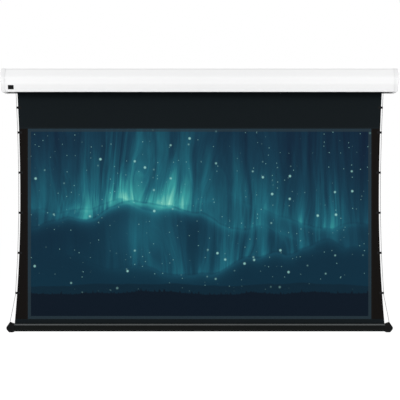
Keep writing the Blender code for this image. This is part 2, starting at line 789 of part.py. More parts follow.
# Power inlet, receiver and lead
def build_power_inlet(parent):
    x0 = INLET_X - INLET_WIDTH / 2
    x1 = INLET_X + INLET_WIDTH / 2
    y0 = INLET_Y - INLET_DEPTH / 2
    y1 = INLET_Y + INLET_DEPTH / 2
    lip = INLET_FLANGE_LIP
    flange_top = CASE_TOP - CASE_WALL - GAP
    corner = INLET_CORNER
    body = [(x0, y0, corner), (x1, y0, corner), (x1, y1, corner), (x0, y1, corner)]
    flange = [
        (x0 - lip, y0 - lip, corner),
        (x1 + lip, y0 - lip, corner),
        (x1 + lip, y1 + lip, corner),
        (x0 - lip, y1 + lip, corner),
    ]
    coarse = math.radians(30)
    inlet = piece(
        "power_inlet",
        prism_solid("Z", rounded(body, coarse), CASE_TOP - INLET_BODY, CASE_TOP),
        BLACK_PLASTIC,
        parent,
        side=-1,
    )
    outline = rounded(flange, coarse)
    shape = prism_solid("Z", outline, flange_top - INLET_FLANGE, flange_top)
    combine(inlet, "UNION", "flange", shape, -1)
    # The socket's two round lobes overlap as a figure of eight, each round a contact pin
    lobe = INLET_PIN_PITCH / 2
    waist = math.acos(lobe / INLET_LOBE_RADIUS)
    sweep = math.tau - 2 * waist
    eight = ring(INLET_LOBE_RADIUS, 8, (INLET_X - lobe, INLET_Y), waist, sweep)
    eight += ring(INLET_LOBE_RADIUS, 8, (INLET_X + lobe, INLET_Y), waist - math.pi, sweep)[1:-1]
    recess = prism_solid("Z", eight, CASE_TOP - INLET_RECESS, CASE_TOP + CUT_MARGIN)
    combine(inlet, "DIFFERENCE", "socket", recess, -1)
    pins = bmesh.new()
    for offset in (-lobe, lobe):
        outline = ring(INLET_PIN_RADIUS, 8, (INLET_X + offset, INLET_Y))
        prism(pins, "Z", outline, CASE_TOP - INLET_RECESS - CUT_MARGIN, CASE_TOP - INLET_PIN_SINK)
    combine(inlet, "UNION", "pins", pins, -1)


def build_receiver(parent):
    rear = RIB_FRONT_Y - RIB_WIDTH / 2 - GAP
    front = rear - RECEIVER_WIDTH
    top = CASE_TOP - RECEIVER_FROM_TOP
    foot = top - RECEIVER_HEIGHT
    corner = RECEIVER_CORNER
    outline = rounded(
        [(front, foot, corner), (rear, foot, corner), (rear, top, corner), (front, top, corner)],
        step=math.radians(30),
    )
    inner = RECEIVER_X - RECEIVER_LENGTH
    shape = prism_solid("X", outline, inner, RECEIVER_X)
    piece("receiver_box", shape, GREY_PLASTIC, parent, side=-1)


def smooth_path(points, bend, steps=4):
    """The polyline through points with each inner corner replaced by a quadratic bend."""
    path = [Vector(points[0])]
    for before, corner, after in zip(points, points[1:], points[2:]):
        corner = Vector(corner)
        start = corner + (Vector(before) - corner).normalized() * bend
        end = corner + (Vector(after) - corner).normalized() * bend
        for k in range(steps + 1):
            t = k / steps
            path.append(start * (1 - t) ** 2 + corner * 2 * t * (1 - t) + end * t**2)
    path.append(Vector(points[-1]))
    return path


def line(name, points, radius, finish, parent):
    curve = bpy.data.curves.new(name, "CURVE")
    curve.dimensions = "3D"
    curve.bevel_depth = radius
    curve.bevel_resolution = 2
    curve.use_fill_caps = True
    spline = curve.splines.new("POLY")
    spline.points.add(len(points) - 1)
    for point, place_xyz in zip(spline.points, points):
        point.co = (*place_xyz, 1)
    obj = place(name, curve, parent, (0, 0, 0))
    dress(obj, finish)


def build_motor_lead(parent):
    """The flex from the inlet, over the left cord spool and down to the motor's head."""
    head_x = -(FLANGE_OUT + HEAD_GAP + PLATE_IN - GAP) / 2
    inlet_foot = CASE_TOP - INLET_BODY - GAP
    run_z = inlet_foot - LEAD_DROP
    head_top = ROLLER_Z + MOTOR_HEAD_RADIUS + GAP
    start_x = -INLET_X + LEAD_OFFSET
    route = [
        (start_x, INLET_Y, inlet_foot),
        (start_x, INLET_Y, run_z),
        (head_x, INLET_Y, run_z),
        (head_x, ROLLER_Y, head_top + LEAD_RISE),
        (head_x, ROLLER_Y, head_top),
    ]
    line("motor_lead", smooth_path(route, LEAD_BEND), LEAD_RADIUS, BLACK_PLASTIC, parent)


# Hanging plates
def keyhole_outline():
    """A round hole that passes a screw's head, with a slot above it for the shank."""
    low = RAIL_Z - KEYHOLE_DROP
    high = low + KEYHOLE_RISE
    half = KEYHOLE_SLOT / 2
    junction = math.acos(half / KEYHOLE_RADIUS)
    outline = ring(half, 6, (0, high), 0, math.pi)
    return outline + ring(KEYHOLE_RADIUS, 14, (0, low), math.pi - junction, math.pi + 2 * junction)


def build_hangers(parent):
    outer = -RAIL_LIP - GAP
    inner = outer - HANGER_THICKNESS
    half_height = RAIL_CHANNEL / 2 - HANGER_PLAY
    half = HANGER_LENGTH / 2
    corner = HANGER_CORNER
    outline = rounded(
        [
            (-half, RAIL_Z - half_height, corner),
            (half, RAIL_Z - half_height, corner),
            (half, RAIL_Z + half_height, corner),
            (-half, RAIL_Z + half_height, corner),
        ]
    )
    keyhole = keyhole_outline()
    bore = SCREW_RADIUS + GAP
    size = (
        CLAMP_HEAD_RADIUS,
        CLAMP_HEAD_HEIGHT,
        SCREW_RADIUS,
        outer + GAP + RAIL_DEPTH - GAP,
    )
    for label, side in SIDES:
        shift = side * HANGER_X
        moved = [(x + shift, z) for x, z in outline]
        plate = piece(
            f"hanger_plate_{label}", prism_solid("Y", moved, inner, outer), ZINC_STEEL, parent
        )
        cuts = bmesh.new()
        hole = [(x + shift, z) for x, z in keyhole]
        prism(cuts, "Y", hole, inner - CUT_MARGIN, outer + CUT_MARGIN)
        clamp = (shift + side * CLAMP_OFFSET, RAIL_Z)
        prism(cuts, "Y", ring(bore, 10, clamp), inner - CUT_MARGIN, outer + CUT_MARGIN)
        combine(plate, "DIFFERENCE", "keyhole", cuts)
        name = f"hanger_screw_{label}"
        screw(name, "Y", clamp, outer + GAP, -1, size, ZINC_STEEL, parent)


# Cloth
def cloth_half(z):
    """Half the cloth's width at height z: its cut edges draw in between the case and the bar."""
    if z >= CASE_FOOT:
        return TOP_HALF
    if z > WAIST_Z:
        return WAIST_HALF + TOP_FLARE * ((z - WAIST_Z) / (CASE_FOOT - WAIST_Z)) ** 2
    return WAIST_HALF + FOOT_FLARE * ((WAIST_Z - z) / (WAIST_Z - BAR_TOP)) ** 2


def edge_points(top, foot, steps):
    heights = [top + (foot - top) * k / steps for k in range(steps + 1)]
    return [(cloth_half(z), z) for z in heights]


def sheet(name, outline, finish, parent):
    front = CLOTH_Y - SHEET_THICKNESS / 2
    rear = CLOTH_Y + SHEET_THICKNESS / 2
    piece(name, prism_solid("Y", outline, front, rear), finish, parent)


def full_width_sheet(name, top, foot, steps, finish, parent):
    edge = edge_points(top, foot, steps)
    outline = edge + [(-x, z) for x, z in reversed(edge)]
    sheet(name, outline, finish, parent)


def build_cloth(parent):
    drop_foot = PICTURE_TOP + HALF_GAP
    picture_top = PICTURE_TOP - HALF_GAP
    picture_foot = PICTURE_FOOT + HALF_GAP
    drop_edge = [(TOP_HALF, ROLLER_Z)] + edge_points(CASE_FOOT, drop_foot, 3)
    outline = drop_edge + [(-x, z) for x, z in reversed(drop_edge)]
    sheet("black_drop", outline, BLACK_CLOTH, parent)
    half = PICTURE_HALF - HALF_GAP
    sheet("viewing_surface", box_outline(-half, half, picture_foot, picture_top), PICTURE_CLOTH, parent)
    inner = PICTURE_HALF + HALF_GAP
    for label, side in SIDES:
        edge = edge_points(picture_top, picture_foot, EDGE_STEPS)
        outline = [(inner, picture_foot), (inner, picture_top)] + edge
        sheet(f"masking_{label}", [(side * x, z) for x, z in outline], MASK_CLOTH, parent)
    full_width_sheet(
        "masking_bottom", PICTURE_FOOT - HALF_GAP, CLOTH_FOOT, 3, BLACK_CLOTH, parent
    )


# Tabs and tension cords
def tab_heights():
    first = PICTURE_TOP - TAB_TOP_INSET
    pitch = (first - PICTURE_FOOT - TAB_FOOT_INSET) / (TABS_ON_PICTURE - 1)
    return [CASE_FOOT - DROP_TAB_DROP] + [first - pitch * i for i in range(TABS_ON_PICTURE)]


def tab_outline(edge):
    """A strap folded round the cord: two legs hold the cloth's edge, and their fold makes the loop."""
    cord_x = edge + CORD_STANDOFF
    inside = CORD_RADIUS + TAB_LOOP_CLEARANCE
    outside = inside + TAB_STRAP
    leg_in = SHEET_THICKNESS / 2 + GAP
    leg_out = leg_in + TAB_STRAP
    start = cord_x + CORD_RADIUS + TAB_LOOP_CLEARANCE + TAB_STRAP - TAB_LENGTH
    outer_angle = math.asin(leg_out / outside)
    inner_angle = math.asin(leg_in / inside)
    outline = [(start, -leg_in), (start, -leg_out)]
    outline += ring(outside, 10, (cord_x, 0), outer_angle - math.pi, math.tau - 2 * outer_angle)
    outline += [(start, leg_out), (start, leg_in)]
    outline += ring(inside, 8, (cord_x, 0), math.pi - inner_angle, 2 * inner_angle - math.tau)
    return [(x, CLOTH_Y + y) for x, y in outline]


def build_tabs(parent):
    for label, side in SIDES:
        for i, z in enumerate(tab_heights(), 1):
            shape = prism_solid(
                "Z", tab_outline(cloth_half(z)), z - TAB_HEIGHT / 2, z + TAB_HEIGHT / 2
            )
            piece(f"tab_{label}_{i}", shape, TAB_TAPE, parent, side=side)


def build_tension_cords(parent):
    reach = TAB_HEIGHT / 2 + CORD_LEAD_IN
    ear_top = BAR_Z + BAR_HEIGHT / 2 + EAR_RISE
    for label, side in SIDES:
        route = [(SPOOL_X, ROLLER_Z), (SPOOL_X, CASE_FOOT)]
        for z in tab_heights():
            x = cloth_half(z) + CORD_STANDOFF
            route += [(x, z + reach), (x, z - reach)]
        route += [(EAR_X, ear_top + CORD_LEAD_IN), (EAR_X, BAR_Z - ADJUSTER_DROP)]
        points = [(side * x, CLOTH_Y, z) for x, z in route]
        line(f"tension_cord_{label}", points, CORD_RADIUS, CORD_FINISH, parent)


# Bottom bar, modelled about the middle of its section
def bar_profile():
    half_depth = BAR_DEPTH / 2
    top = BAR_HEIGHT / 2
    slot = BAR_SLOT / 2
    groove_top = top - BAR_GROOVE_DROP + BAR_GROOVE_WIDTH
    groove_foot = top - BAR_GROOVE_DROP
    mouth = math.asin(slot / SPLINE_CHANNEL)
    channel = ring(
        SPLINE_CHANNEL, 14, (0, SPLINE_Z), math.pi / 2 - mouth, 2 * mouth - math.tau
    )
    profile = [
        (-half_depth, -top, BAR_FOOT_CORNER),
        (half_depth, -top, BAR_FOOT_CORNER),
        (half_depth, top, BAR_TOP_CORNER),
        (slot, top, 0),
    ]
    profile += [(y, z, 0) for y, z in channel]
    profile += [
        (-slot, top, 0),
        (-half_depth, top, BAR_TOP_CORNER),
        (-half_depth, groove_top, 0),
        (-half_depth + BAR_GROOVE_DEPTH, groove_top, 0),
        (-half_depth + BAR_GROOVE_DEPTH, groove_foot, 0),
        (-half_depth, groove_foot, 0),
    ]
    return rounded(profile, step=math.radians(18))


def chamber_outline(gap):
    half = BAR_DEPTH / 2 - BAR_WALL - gap
    foot = -BAR_HEIGHT / 2 + BAR_WALL + gap
    top = BAR_HEIGHT / 2 - BAR_CHAMBER_TOP - gap
    radius = CHAMBER_CORNER
    return rounded(
        [(-half, foot, radius), (half, foot, radius), (half, top, radius), (-half, top, radius)],
        step=math.radians(30),
    )


def build_bottom_bar(parent):
    shape = prism_solid("X", bar_profile(), -BAR_HALF, BAR_HALF)
    bar = piece("bottom_bar", shape, BLACK_ALUMINIUM, parent)
    reach = BAR_HALF + CUT_MARGIN
    combine(bar, "DIFFERENCE", "chamber", prism_solid("X", chamber_outline(0), -reach, reach))
    holes = bmesh.new()
    for _, side in SIDES:
        hole = ring(BAR_SCREW_RADIUS + GAP, 10, (side * (BAR_HALF - BAR_SCREW_INSET), -BAR_SCREW_DROP))
        inside = BAR_DEPTH / 2 - BAR_WALL - CUT_MARGIN
        prism(holes, "Y", hole, inside, BAR_DEPTH / 2 + CUT_MARGIN)
    combine(bar, "DIFFERENCE", "screw_holes", holes)
    length = FOOT_HALF - SPLINE_END_SETBACK
    spline = [(-length, SPLINE_RADIUS), (length, SPLINE_RADIUS)]
    shape = turned_solid("X", (0, SPLINE_Z), spline, 14)
    piece("fabric_spline", shape, GREY_PLASTIC, parent)


def bar_cap_corners():
    top = BAR_HEIGHT / 2
    foot = -top - CAP_FOOT
    nose = BAR_CAP_IN + CAP_NOSE
    shoulder = nose - CAP_SHOULDER_BACK
    return [
        (BAR_CAP_IN, -top - CAP_HEEL, CAP_EDGE),
        (BAR_CAP_IN + CAP_CHAMFER, foot, CAP_ROUND),
        (BAR_CAP_IN + CAP_FOOT_LENGTH, foot, CAP_ROUND),
        (shoulder, -CAP_NOSE_DROP - CAP_HEEL_RISE, CAP_ROUND),
        (nose, -CAP_NOSE_DROP, CAP_ROUND),
        (shoulder, -CAP_NOSE_DROP + CAP_SHOULDER_RISE, CAP_ROUND),
        (EAR_X, top + EAR_RISE, EAR_ROUND),
        (BAR_CAP_IN, top + CAP_LIP, CAP_EDGE),
    ]


def build_bar_cap(label, side, parent):
    corners = bar_cap_corners()
    eased = [CAP_EASING] * (len(corners) - 1) + [0.0]
    half = CAP_BODY_DEPTH / 2
    plain = rounded(corners, step=math.radians(20))
    small = rounded(inset_corners(corners, eased), step=math.radians(20))
    shape = bmesh.new()
    sections = [(-half, small), (-half + CAP_EASING, plain), (half - CAP_EASING, plain), (half, small)]
    loft(shape, "Y", sections)
    cap = piece(f"bar_end_cap_{label}", shape, BLACK_PLASTIC, parent, side=side)
    relief = bmesh.new()
    over = BAR_HEIGHT / 2 + CAP_LIP
    for y0, y1 in ((-half - CUT_MARGIN, -EAR_DEPTH / 2), (EAR_DEPTH / 2, half + CUT_MARGIN)):
        outline = box_outline(BAR_CAP_IN - CUT_MARGIN, BAR_CAP_IN + CAP_NOSE, over, over + 2 * EAR_RISE)
        prism(relief, "Y", outline, y0, y1)
    combine(cap, "DIFFERENCE", "ear_relief", relief, side)
    spigot = prism_solid("X", chamber_outline(GAP), BAR_HALF - SPIGOT_LENGTH, BAR_CAP_IN + CUT_MARGIN)
    combine(cap, "UNION", "spigot", spigot, side)
    holes = bmesh.new()
    pocket = ring(ADJUSTER_DISC_RADIUS + GAP, 24, (ADJUSTER_X, -ADJUSTER_DROP))
    back = adjuster_back() + GAP
    prism(holes, "Y", pocket, -half - CUT_MARGIN, back)
    combine(cap, "DIFFERENCE", "pocket", holes, side)
    cord_hole = prism_solid(
        "Z",
        ring(CORD_RADIUS + EAR_HOLE_CLEARANCE, 10, (EAR_X, 0)),
        -ADJUSTER_DROP,
        BAR_HEIGHT / 2 + EAR_RISE + CUT_MARGIN,
    )
    combine(cap, "DIFFERENCE", "cord_hole", cord_hole, side)
    screw_hole = prism_solid(
        "Y",
        ring(BAR_SCREW_RADIUS + GAP, 10, (BAR_HALF - BAR_SCREW_INSET, -BAR_SCREW_DROP)),
        BAR_DEPTH / 2 - BAR_SCREW_LENGTH - CUT_MARGIN,
        BAR_DEPTH / 2,
    )
    combine(cap, "DIFFERENCE", "screw_hole", screw_hole, side)


def adjuster_front():
    return -CAP_BODY_DEPTH / 2 - ADJUSTER_PROUD


def adjuster_back():
    return adjuster_front() + ADJUSTER_DISC + ADJUSTER_CORE


def build_adjuster(label, side, parent):
    """A slotted barrel that winds the cord's end, modelled about its own axis."""
    front = adjuster_front()
    disc_back = front + ADJUSTER_DISC
    profile = [
        (front, ADJUSTER_DISC_RADIUS - ADJUSTER_EASING),
        (front + ADJUSTER_EASING, ADJUSTER_DISC_RADIUS),
        (disc_back, ADJUSTER_DISC_RADIUS),
        (disc_back, ADJUSTER_CORE_RADIUS),
        (adjuster_back(), ADJUSTER_CORE_RADIUS),
    ]
    barrel = piece(
        f"tension_adjuster_{label}",
        turned_solid("Y", (0, 0), profile, 24),
        BLACK_PLASTIC,
        parent,
        location=(side * ADJUSTER_X, 0, -ADJUSTER_DROP),
    )
    half_long, half_wide = DRIVER_SLOT_LENGTH / 2, DRIVER_SLOT_WIDTH / 2
    outline = box_outline(-half_long, half_long, -half_wide, half_wide)
    slot = prism_solid("Y", outline, front - CUT_MARGIN, front + DRIVER_SLOT_DEPTH)
    combine(barrel, "DIFFERENCE", "driver_slot", slot)


def build_bar_ends(parent):
    size = (
        BAR_SCREW_HEAD_RADIUS,
        BAR_SCREW_HEAD_HEIGHT,
        BAR_SCREW_RADIUS,
        BAR_SCREW_LENGTH,
    )
    centre = (BAR_HALF - BAR_SCREW_INSET, -BAR_SCREW_DROP)
    for label, side in SIDES:
        build_bar_cap(label, side, parent)
        build_adjuster(label, side, parent)
        name = f"bar_cap_screw_{label}"
        screw(name, "Y", centre, BAR_DEPTH / 2 + GAP, -1, size, ZINC_STEEL, parent, side)


def build():
    clear_scene()
    case = empty("case_frame", (0, 0, 0))
    roller = empty("roller_axis", (0, ROLLER_Y, ROLLER_Z))
    bar = empty("bar_frame", (0, CLOTH_Y, BAR_Z))
    build_case_shell(case)
    build_case_ends(case)
    build_roller(roller)
    for label, side in SIDES:
        build_cord_spool(f"cord_spool_{label}", side, roller)
    build_drive(case, roller)
    build_idler(case, roller)
    build_power_inlet(case)
    build_receiver(case)
    build_motor_lead(case)
    build_hangers(case)
    build_cloth(case)
    build_tabs(case)
    build_tension_cords(case)
    build_bottom_bar(bar)
    build_bar_ends(bar)


build()
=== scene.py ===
import json
import math

import bmesh
import bpy
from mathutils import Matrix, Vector


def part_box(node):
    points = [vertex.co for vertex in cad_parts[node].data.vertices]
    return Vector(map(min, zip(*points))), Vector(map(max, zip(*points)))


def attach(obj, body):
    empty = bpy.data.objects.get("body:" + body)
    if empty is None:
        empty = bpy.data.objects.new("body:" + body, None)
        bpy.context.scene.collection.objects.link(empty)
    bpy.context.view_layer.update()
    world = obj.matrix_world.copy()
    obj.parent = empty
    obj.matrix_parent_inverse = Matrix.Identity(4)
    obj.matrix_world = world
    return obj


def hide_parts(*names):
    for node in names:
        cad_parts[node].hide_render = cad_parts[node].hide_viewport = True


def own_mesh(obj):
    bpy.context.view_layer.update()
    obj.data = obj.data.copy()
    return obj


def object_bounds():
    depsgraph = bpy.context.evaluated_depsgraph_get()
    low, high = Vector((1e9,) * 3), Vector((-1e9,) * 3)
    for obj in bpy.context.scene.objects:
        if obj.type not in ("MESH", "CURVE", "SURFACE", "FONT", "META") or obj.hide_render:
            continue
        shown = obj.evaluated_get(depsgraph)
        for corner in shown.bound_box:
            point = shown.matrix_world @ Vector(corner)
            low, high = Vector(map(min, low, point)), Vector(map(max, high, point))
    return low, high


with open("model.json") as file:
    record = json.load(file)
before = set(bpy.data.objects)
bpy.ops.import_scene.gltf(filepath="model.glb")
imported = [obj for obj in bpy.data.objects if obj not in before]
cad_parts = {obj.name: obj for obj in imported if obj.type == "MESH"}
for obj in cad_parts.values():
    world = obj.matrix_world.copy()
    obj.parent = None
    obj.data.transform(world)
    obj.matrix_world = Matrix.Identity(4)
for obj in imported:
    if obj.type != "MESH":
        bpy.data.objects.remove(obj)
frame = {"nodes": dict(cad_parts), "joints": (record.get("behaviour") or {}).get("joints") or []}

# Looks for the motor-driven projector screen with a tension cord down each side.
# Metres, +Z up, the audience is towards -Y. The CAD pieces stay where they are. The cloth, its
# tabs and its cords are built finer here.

cadLow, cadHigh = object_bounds()
nodes = frame["nodes"]
print(f"frame: {len(nodes)} CAD pieces, {cadHigh.x - cadLow.x:.3f} m wide")


# A wrapped socket, so that a sum in a shader reads as a sum
class Wire:
    def __init__(self, shading, socket):
        self.shading = shading
        self.socket = socket

    def other(self, output):
        return Wire(self.shading, self.socket.node.outputs[output])

    def __add__(self, value):
        return self.shading.maths("ADD", self, value)

    def __radd__(self, value):
        return self.shading.maths("ADD", value, self)

    def __sub__(self, value):
        return self.shading.maths("SUBTRACT", self, value)

    def __rsub__(self, value):
        return self.shading.maths("SUBTRACT", value, self)

    def __mul__(self, value):
        return self.shading.maths("MULTIPLY", self, value)

    def __rmul__(self, value):
        return self.shading.maths("MULTIPLY", value, self)

    def __truediv__(self, value):
        return self.shading.maths("DIVIDE", self, value)

    def __rtruediv__(self, value):
        return self.shading.maths("DIVIDE", value, self)

    def __lt__(self, value):
        return self.shading.maths("LESS_THAN", self, value)

    def __gt__(self, value):
        return self.shading.maths("GREATER_THAN", self, value)


# The nodes of one material or of the world
class Shading:
    def __init__(self, tree):
        self.tree = tree

    def feed(self, socket, value):
        if isinstance(value, Wire):
            self.tree.links.new(value.socket, socket)
        elif socket.type == "RGBA" and len(value) == 3:
            socket.default_value = (*value, 1.0)
        else:
            socket.default_value = value

    def node(self, kind, settings=None, inputs=None, output=0):
        made = self.tree.nodes.new(kind)
        for setting, value in (settings or {}).items():
            if setting == "stops":
                elements = made.color_ramp.elements
                while len(elements) < len(value):
                    elements.new(0.5)
                for element, (place, colour) in zip(elements, value):
                    element.position = place
                    element.color = (*colour, 1.0)
            else:
                setattr(made, setting, value)
        for socket, value in (inputs or {}).items():
            self.feed(made.inputs[socket], value)
        return Wire(self, made.outputs[output])

    def maths(self, operation, *values):
        return self.node("ShaderNodeMath", {"operation": operation}, dict(enumerate(values)))

    def place(self):
        return self.node("ShaderNodeTexCoord", output="Object")

    def unwrapped(self):
        return self.node("ShaderNodeTexCoord", output="UV")

    def split(self, vector):
        x = self.node("ShaderNodeSeparateXYZ", inputs={0: vector})
        return x, x.other(1), x.other(2)

    def join(self, x, y, z):
        return self.node("ShaderNodeCombineXYZ", inputs={0: x, 1: y, 2: z})

    def stretched(self, vector, scale):
        return self.node("ShaderNodeMapping", inputs={"Vector": vector, "Scale": scale})

    def noise(self, vector, scale, detail=2.0, rough=0.5):
        inputs = {"Vector": vector, "Scale": scale, "Detail": detail, "Roughness": rough}
        return self.node("ShaderNodeTexNoise", inputs=inputs)

    def cells(self, vector, scale):
        return self.node("ShaderNodeTexVoronoi", inputs={"Vector": vector, "Scale": scale})

    def smooth(self, value, low, high):
        inputs = {"Value": value, "From Min": low, "From Max": high}
        return self.node("ShaderNodeMapRange", {"interpolation_type": "SMOOTHSTEP"}, inputs)

    def band(self, value, middle, reach, soft):
        return self.smooth(self.maths("ABSOLUTE", value - middle), reach + soft, reach)

    def mix(self, factor, first, second, blend="MIX"):
        settings = {"data_type": "RGBA", "blend_type": blend}
        return self.node("ShaderNodeMix", settings, {0: factor, 6: first, 7: second}, 2)

    def ramp(self, value, stops):
        return self.node("ShaderNodeValToRGB", {"stops": stops}, {0: value})


# One finish, and what its surface does
class Finish(Shading):
    def __init__(self, name, colour, roughness, **plain):
        self.material = bpy.data.materials.new(name)
        self.material.use_nodes = True
        super().__init__(self.material.node_tree)
        self.shader = self.tree.nodes["Principled BSDF"]
        self.set("Base Color", colour)
        self.set("Roughness", roughness)
        for socket, value in plain.items():
            self.set(socket, value)

    def set(self, socket, value):
        self.feed(self.shader.inputs[socket], value)

    def bump(self, height, strength, depth):
        inputs = {"Height": height, "Strength": strength, "Distance": depth}
        self.set("Normal", self.node("ShaderNodeBump", inputs=inputs))


def scaled(colour, share):
    return tuple(part * share for part in colour)


# A "bump" is a strength and a depth in metres, and "rougher" is what a pattern adds to roughness

# White powder coat on the case's profile and end plates
casePaint = {
    "colour": (0.885, 0.887, 0.890),
    "cloudScale": 3.0,
    "cloudShade": 0.975,
    "roughness": 0.31,
    "rougher": 0.08,
    "peelScale": 700.0,
    "peelHeight": 0.7,
    "drawLines": (4.0, 260.0, 260.0),
    "lineHeight": 0.5,
    "bump": (0.10, 0.0002),
}


def casePaintFinish():
    s = casePaint
    paint = Finish("casePaint", s["colour"], s["roughness"])
    place = paint.place()
    clouds = paint.noise(place, s["cloudScale"], 3.0)
    peel = paint.noise(place, s["peelScale"])
    lines = paint.noise(paint.stretched(place, s["drawLines"]), 1.0, 3.0)
    paint.set("Base Color", paint.mix(clouds, s["colour"], scaled(s["colour"], s["cloudShade"])))
    paint.set("Roughness", s["roughness"] + s["rougher"] * lines)
    paint.bump(peel * s["peelHeight"] + lines * s["lineHeight"], *s["bump"])
    return paint


# Moulded plastics, with a fine spark-eroded grain and faint flow marks
plastics = {
    "capPlastic": {"colour": (0.850, 0.852, 0.856), "roughness": 0.36, "grain": 1800.0, "gloss": 0.5},
    "blackPlastic": {"colour": (0.0050, 0.0052, 0.0054), "roughness": 0.38, "grain": 1500.0, "gloss": 0.06},
    "greyPlastic": {"colour": (0.085, 0.086, 0.090), "roughness": 0.44, "grain": 1500.0, "gloss": 0.4},
    "rubber": {"colour": (0.012, 0.012, 0.0125), "roughness": 0.66, "grain": 1100.0, "gloss": 0.2},
}
flowMarks = {"stretch": (9.0, 9.0, 22.0), "shade": 0.93, "rougher": 0.10}
plasticBump = (0.22, 0.00015)


def plasticFinish(name):
    s = plastics[name]
    plastic = Finish(name, s["colour"], s["roughness"], **{"Specular IOR Level": s["gloss"]})
    place = plastic.place()
    grain = plastic.noise(place, s["grain"], 3.0, 0.6)
    flow = plastic.noise(plastic.stretched(place, flowMarks["stretch"]), 1.0, 3.0)
    plastic.set("Base Color", plastic.mix(flow, s["colour"], scaled(s["colour"], flowMarks["shade"])))
    plastic.set("Roughness", s["roughness"] + flowMarks["rougher"] * flow)
    plastic.bump(grain, *plasticBump)
    return plastic


# Bare metals: drawn aluminium, turned steel, the motor's tube, and zinc-plated steel
metals = {
    "drawnAluminium": {"colour": (0.68, 0.69, 0.70), "roughness": 0.28, "lines": (6.0, 500.0, 500.0)},
    "turnedSteel": {"colour": (0.56, 0.57, 0.58), "roughness": 0.26, "lines": (900.0, 9.0, 9.0)},
    "motorTube": {"colour": (0.40, 0.41, 0.42), "roughness": 0.34, "lines": (5.0, 380.0, 380.0)},
}
metalLines = {"shade": 0.82, "rougher": 0.14, "bump": (0.16, 0.0001)}
zincPlate = {
    "dark": (0.52, 0.53, 0.55),
    "light": (0.68, 0.69, 0.69),
    "flake": 260.0,
    "roughness": 0.28,
    "rougher": 0.16,
    "grain": 900.0,
    "bump": (0.12, 0.0001),
}


def metalFinish(name):
    s = metals[name]
    metal = Finish(name, s["colour"], s["roughness"], Metallic=1.0)
    lines = metal.noise(metal.stretched(metal.place(), s["lines"]), 1.0, 4.0, 0.6)
    metal.set("Base Color", metal.mix(lines, scaled(s["colour"], metalLines["shade"]), s["colour"]))
    metal.set("Roughness", s["roughness"] + metalLines["rougher"] * lines)
    metal.bump(lines, *metalLines["bump"])
    return metal


def zincFinish():
    s = zincPlate
    zinc = Finish("zincSteel", s["light"], s["roughness"], Metallic=1.0)
    place = zinc.place()
    flake = zinc.split(zinc.cells(place, s["flake"]).other("Color"))[0]
    zinc.set("Base Color", zinc.mix(flake, s["dark"], s["light"]))
    zinc.set("Roughness", s["roughness"] + s["rougher"] * flake)
    zinc.bump(zinc.noise(place, s["grain"]), *s["bump"])
    return zinc


# Black paint on the bottom bar, with a painted highlight in a band under its top front edge, and a
# fainter painted highlight along the lip at its groove. A band is its middle below the bar's top, its
# reach and its soft edge.
barPaint = {
    "colour": (0.0044, 0.0052, 0.0050),
    "lineShade": 1.35,
    "lines": (5.0, 420.0, 420.0),
    "lineHeight": 0.6,
    "grain": 1100.0,
    "roughness": 0.33,
    "rougher": 0.12,
    "gloss": 0.04,
    "bump": (0.08, 0.0001),
    # Painted highlight: a pale band under the top front edge, where light would catch the edge
    "cut": {"colour": (0.088, 0.094, 0.095), "band": (0.0054, 0.0032, 0.0016), "share": 0.8},
    # Painted highlight: a faint pale line along the lip at the groove
    "lip": {"colour": (0.013, 0.015, 0.015), "band": (0.0325, 0.0005, 0.0015), "share": 0.8},
    "frontFacing": -0.15,
}


def barFinish():
    s = barPaint
    paint = Finish("barPaint", s["colour"], s["roughness"], **{"Specular IOR Level": s["gloss"]})
    place = paint.place()
    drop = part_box("bottom_bar")[1].z - paint.split(place)[2]
    facing = paint.split(paint.node("ShaderNodeNewGeometry", output="Normal"))[1]
    lines = paint.noise(paint.stretched(place, s["lines"]), 1.0, 3.0)
    # Mask of the painted highlight under the top edge, on faces that turn to the front only
    cut = paint.band(drop, *s["cut"]["band"]) * (facing < s["frontFacing"])
    # Mask of the faint painted highlight along the groove's lip
    lip = paint.band(drop, *s["lip"]["band"])
    # Strength of the painted edge highlight, broken a little by the drawn lines
    shine = s["cut"]["share"] + (1 - s["cut"]["share"]) * lines
    colour = paint.mix(lines, s["colour"], scaled(s["colour"], s["lineShade"]))
    # The groove lip's painted highlight goes into the base colour here
    colour = paint.mix(lip * s["lip"]["share"], colour, s["lip"]["colour"])
    # The painted edge highlight goes into the base colour here
    paint.set("Base Color", paint.mix(cut * shine, colour, s["cut"]["colour"]))
    paint.set("Roughness", s["roughness"] + s["rougher"] * lines)
    paint.bump(paint.noise(place, s["grain"]) + lines * s["lineHeight"], *s["bump"])
    return paint


# Where the cloths are welded edge to edge: midway in the gap between the CAD pieces
pictureLow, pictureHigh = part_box("viewing_surface")
sideSeam = (pictureHigh.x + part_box("masking_right")[0].x) / 2
topSeam = (pictureHigh.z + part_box("black_drop")[0].z) / 2
footSeam = (pictureLow.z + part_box("masking_bottom")[1].z) / 2

# Black cloths: a coated weave, smoother and a shade lighter where a seam was pressed
blackCloths = {
    "dropCloth": {"colour": (0.0042, 0.0066, 0.0080), "gloss": 0.045, "seam": "top"},
    "maskCloth": {"colour": (0.0046, 0.0038, 0.0033), "gloss": 0.036, "seam": "side"},
    "clothBack": {"colour": (0.0075, 0.0080, 0.0085), "gloss": 0.12, "seam": "side"},
}
coating = {
    "roughness": 0.60,
    "rougher": 0.12,
    "patchScale": 2.2,
    "patchShare": 0.7,
    "lighter": 1.3,
    "weave": 0.0011,
    "bump": (0.35, 0.00012),
}
seamWeld = {"band": (0.0045, 0.0030, 0.0008), "lighter": 1.5, "smoother": 0.16, "pressed": 0.8}


def threads(cloth, pitch):
    x, _, z = cloth.split(cloth.place())
    turn = math.tau / pitch
    return cloth.maths("SINE", x * turn) * cloth.maths("SINE", z * turn) * 0.5 + 0.5


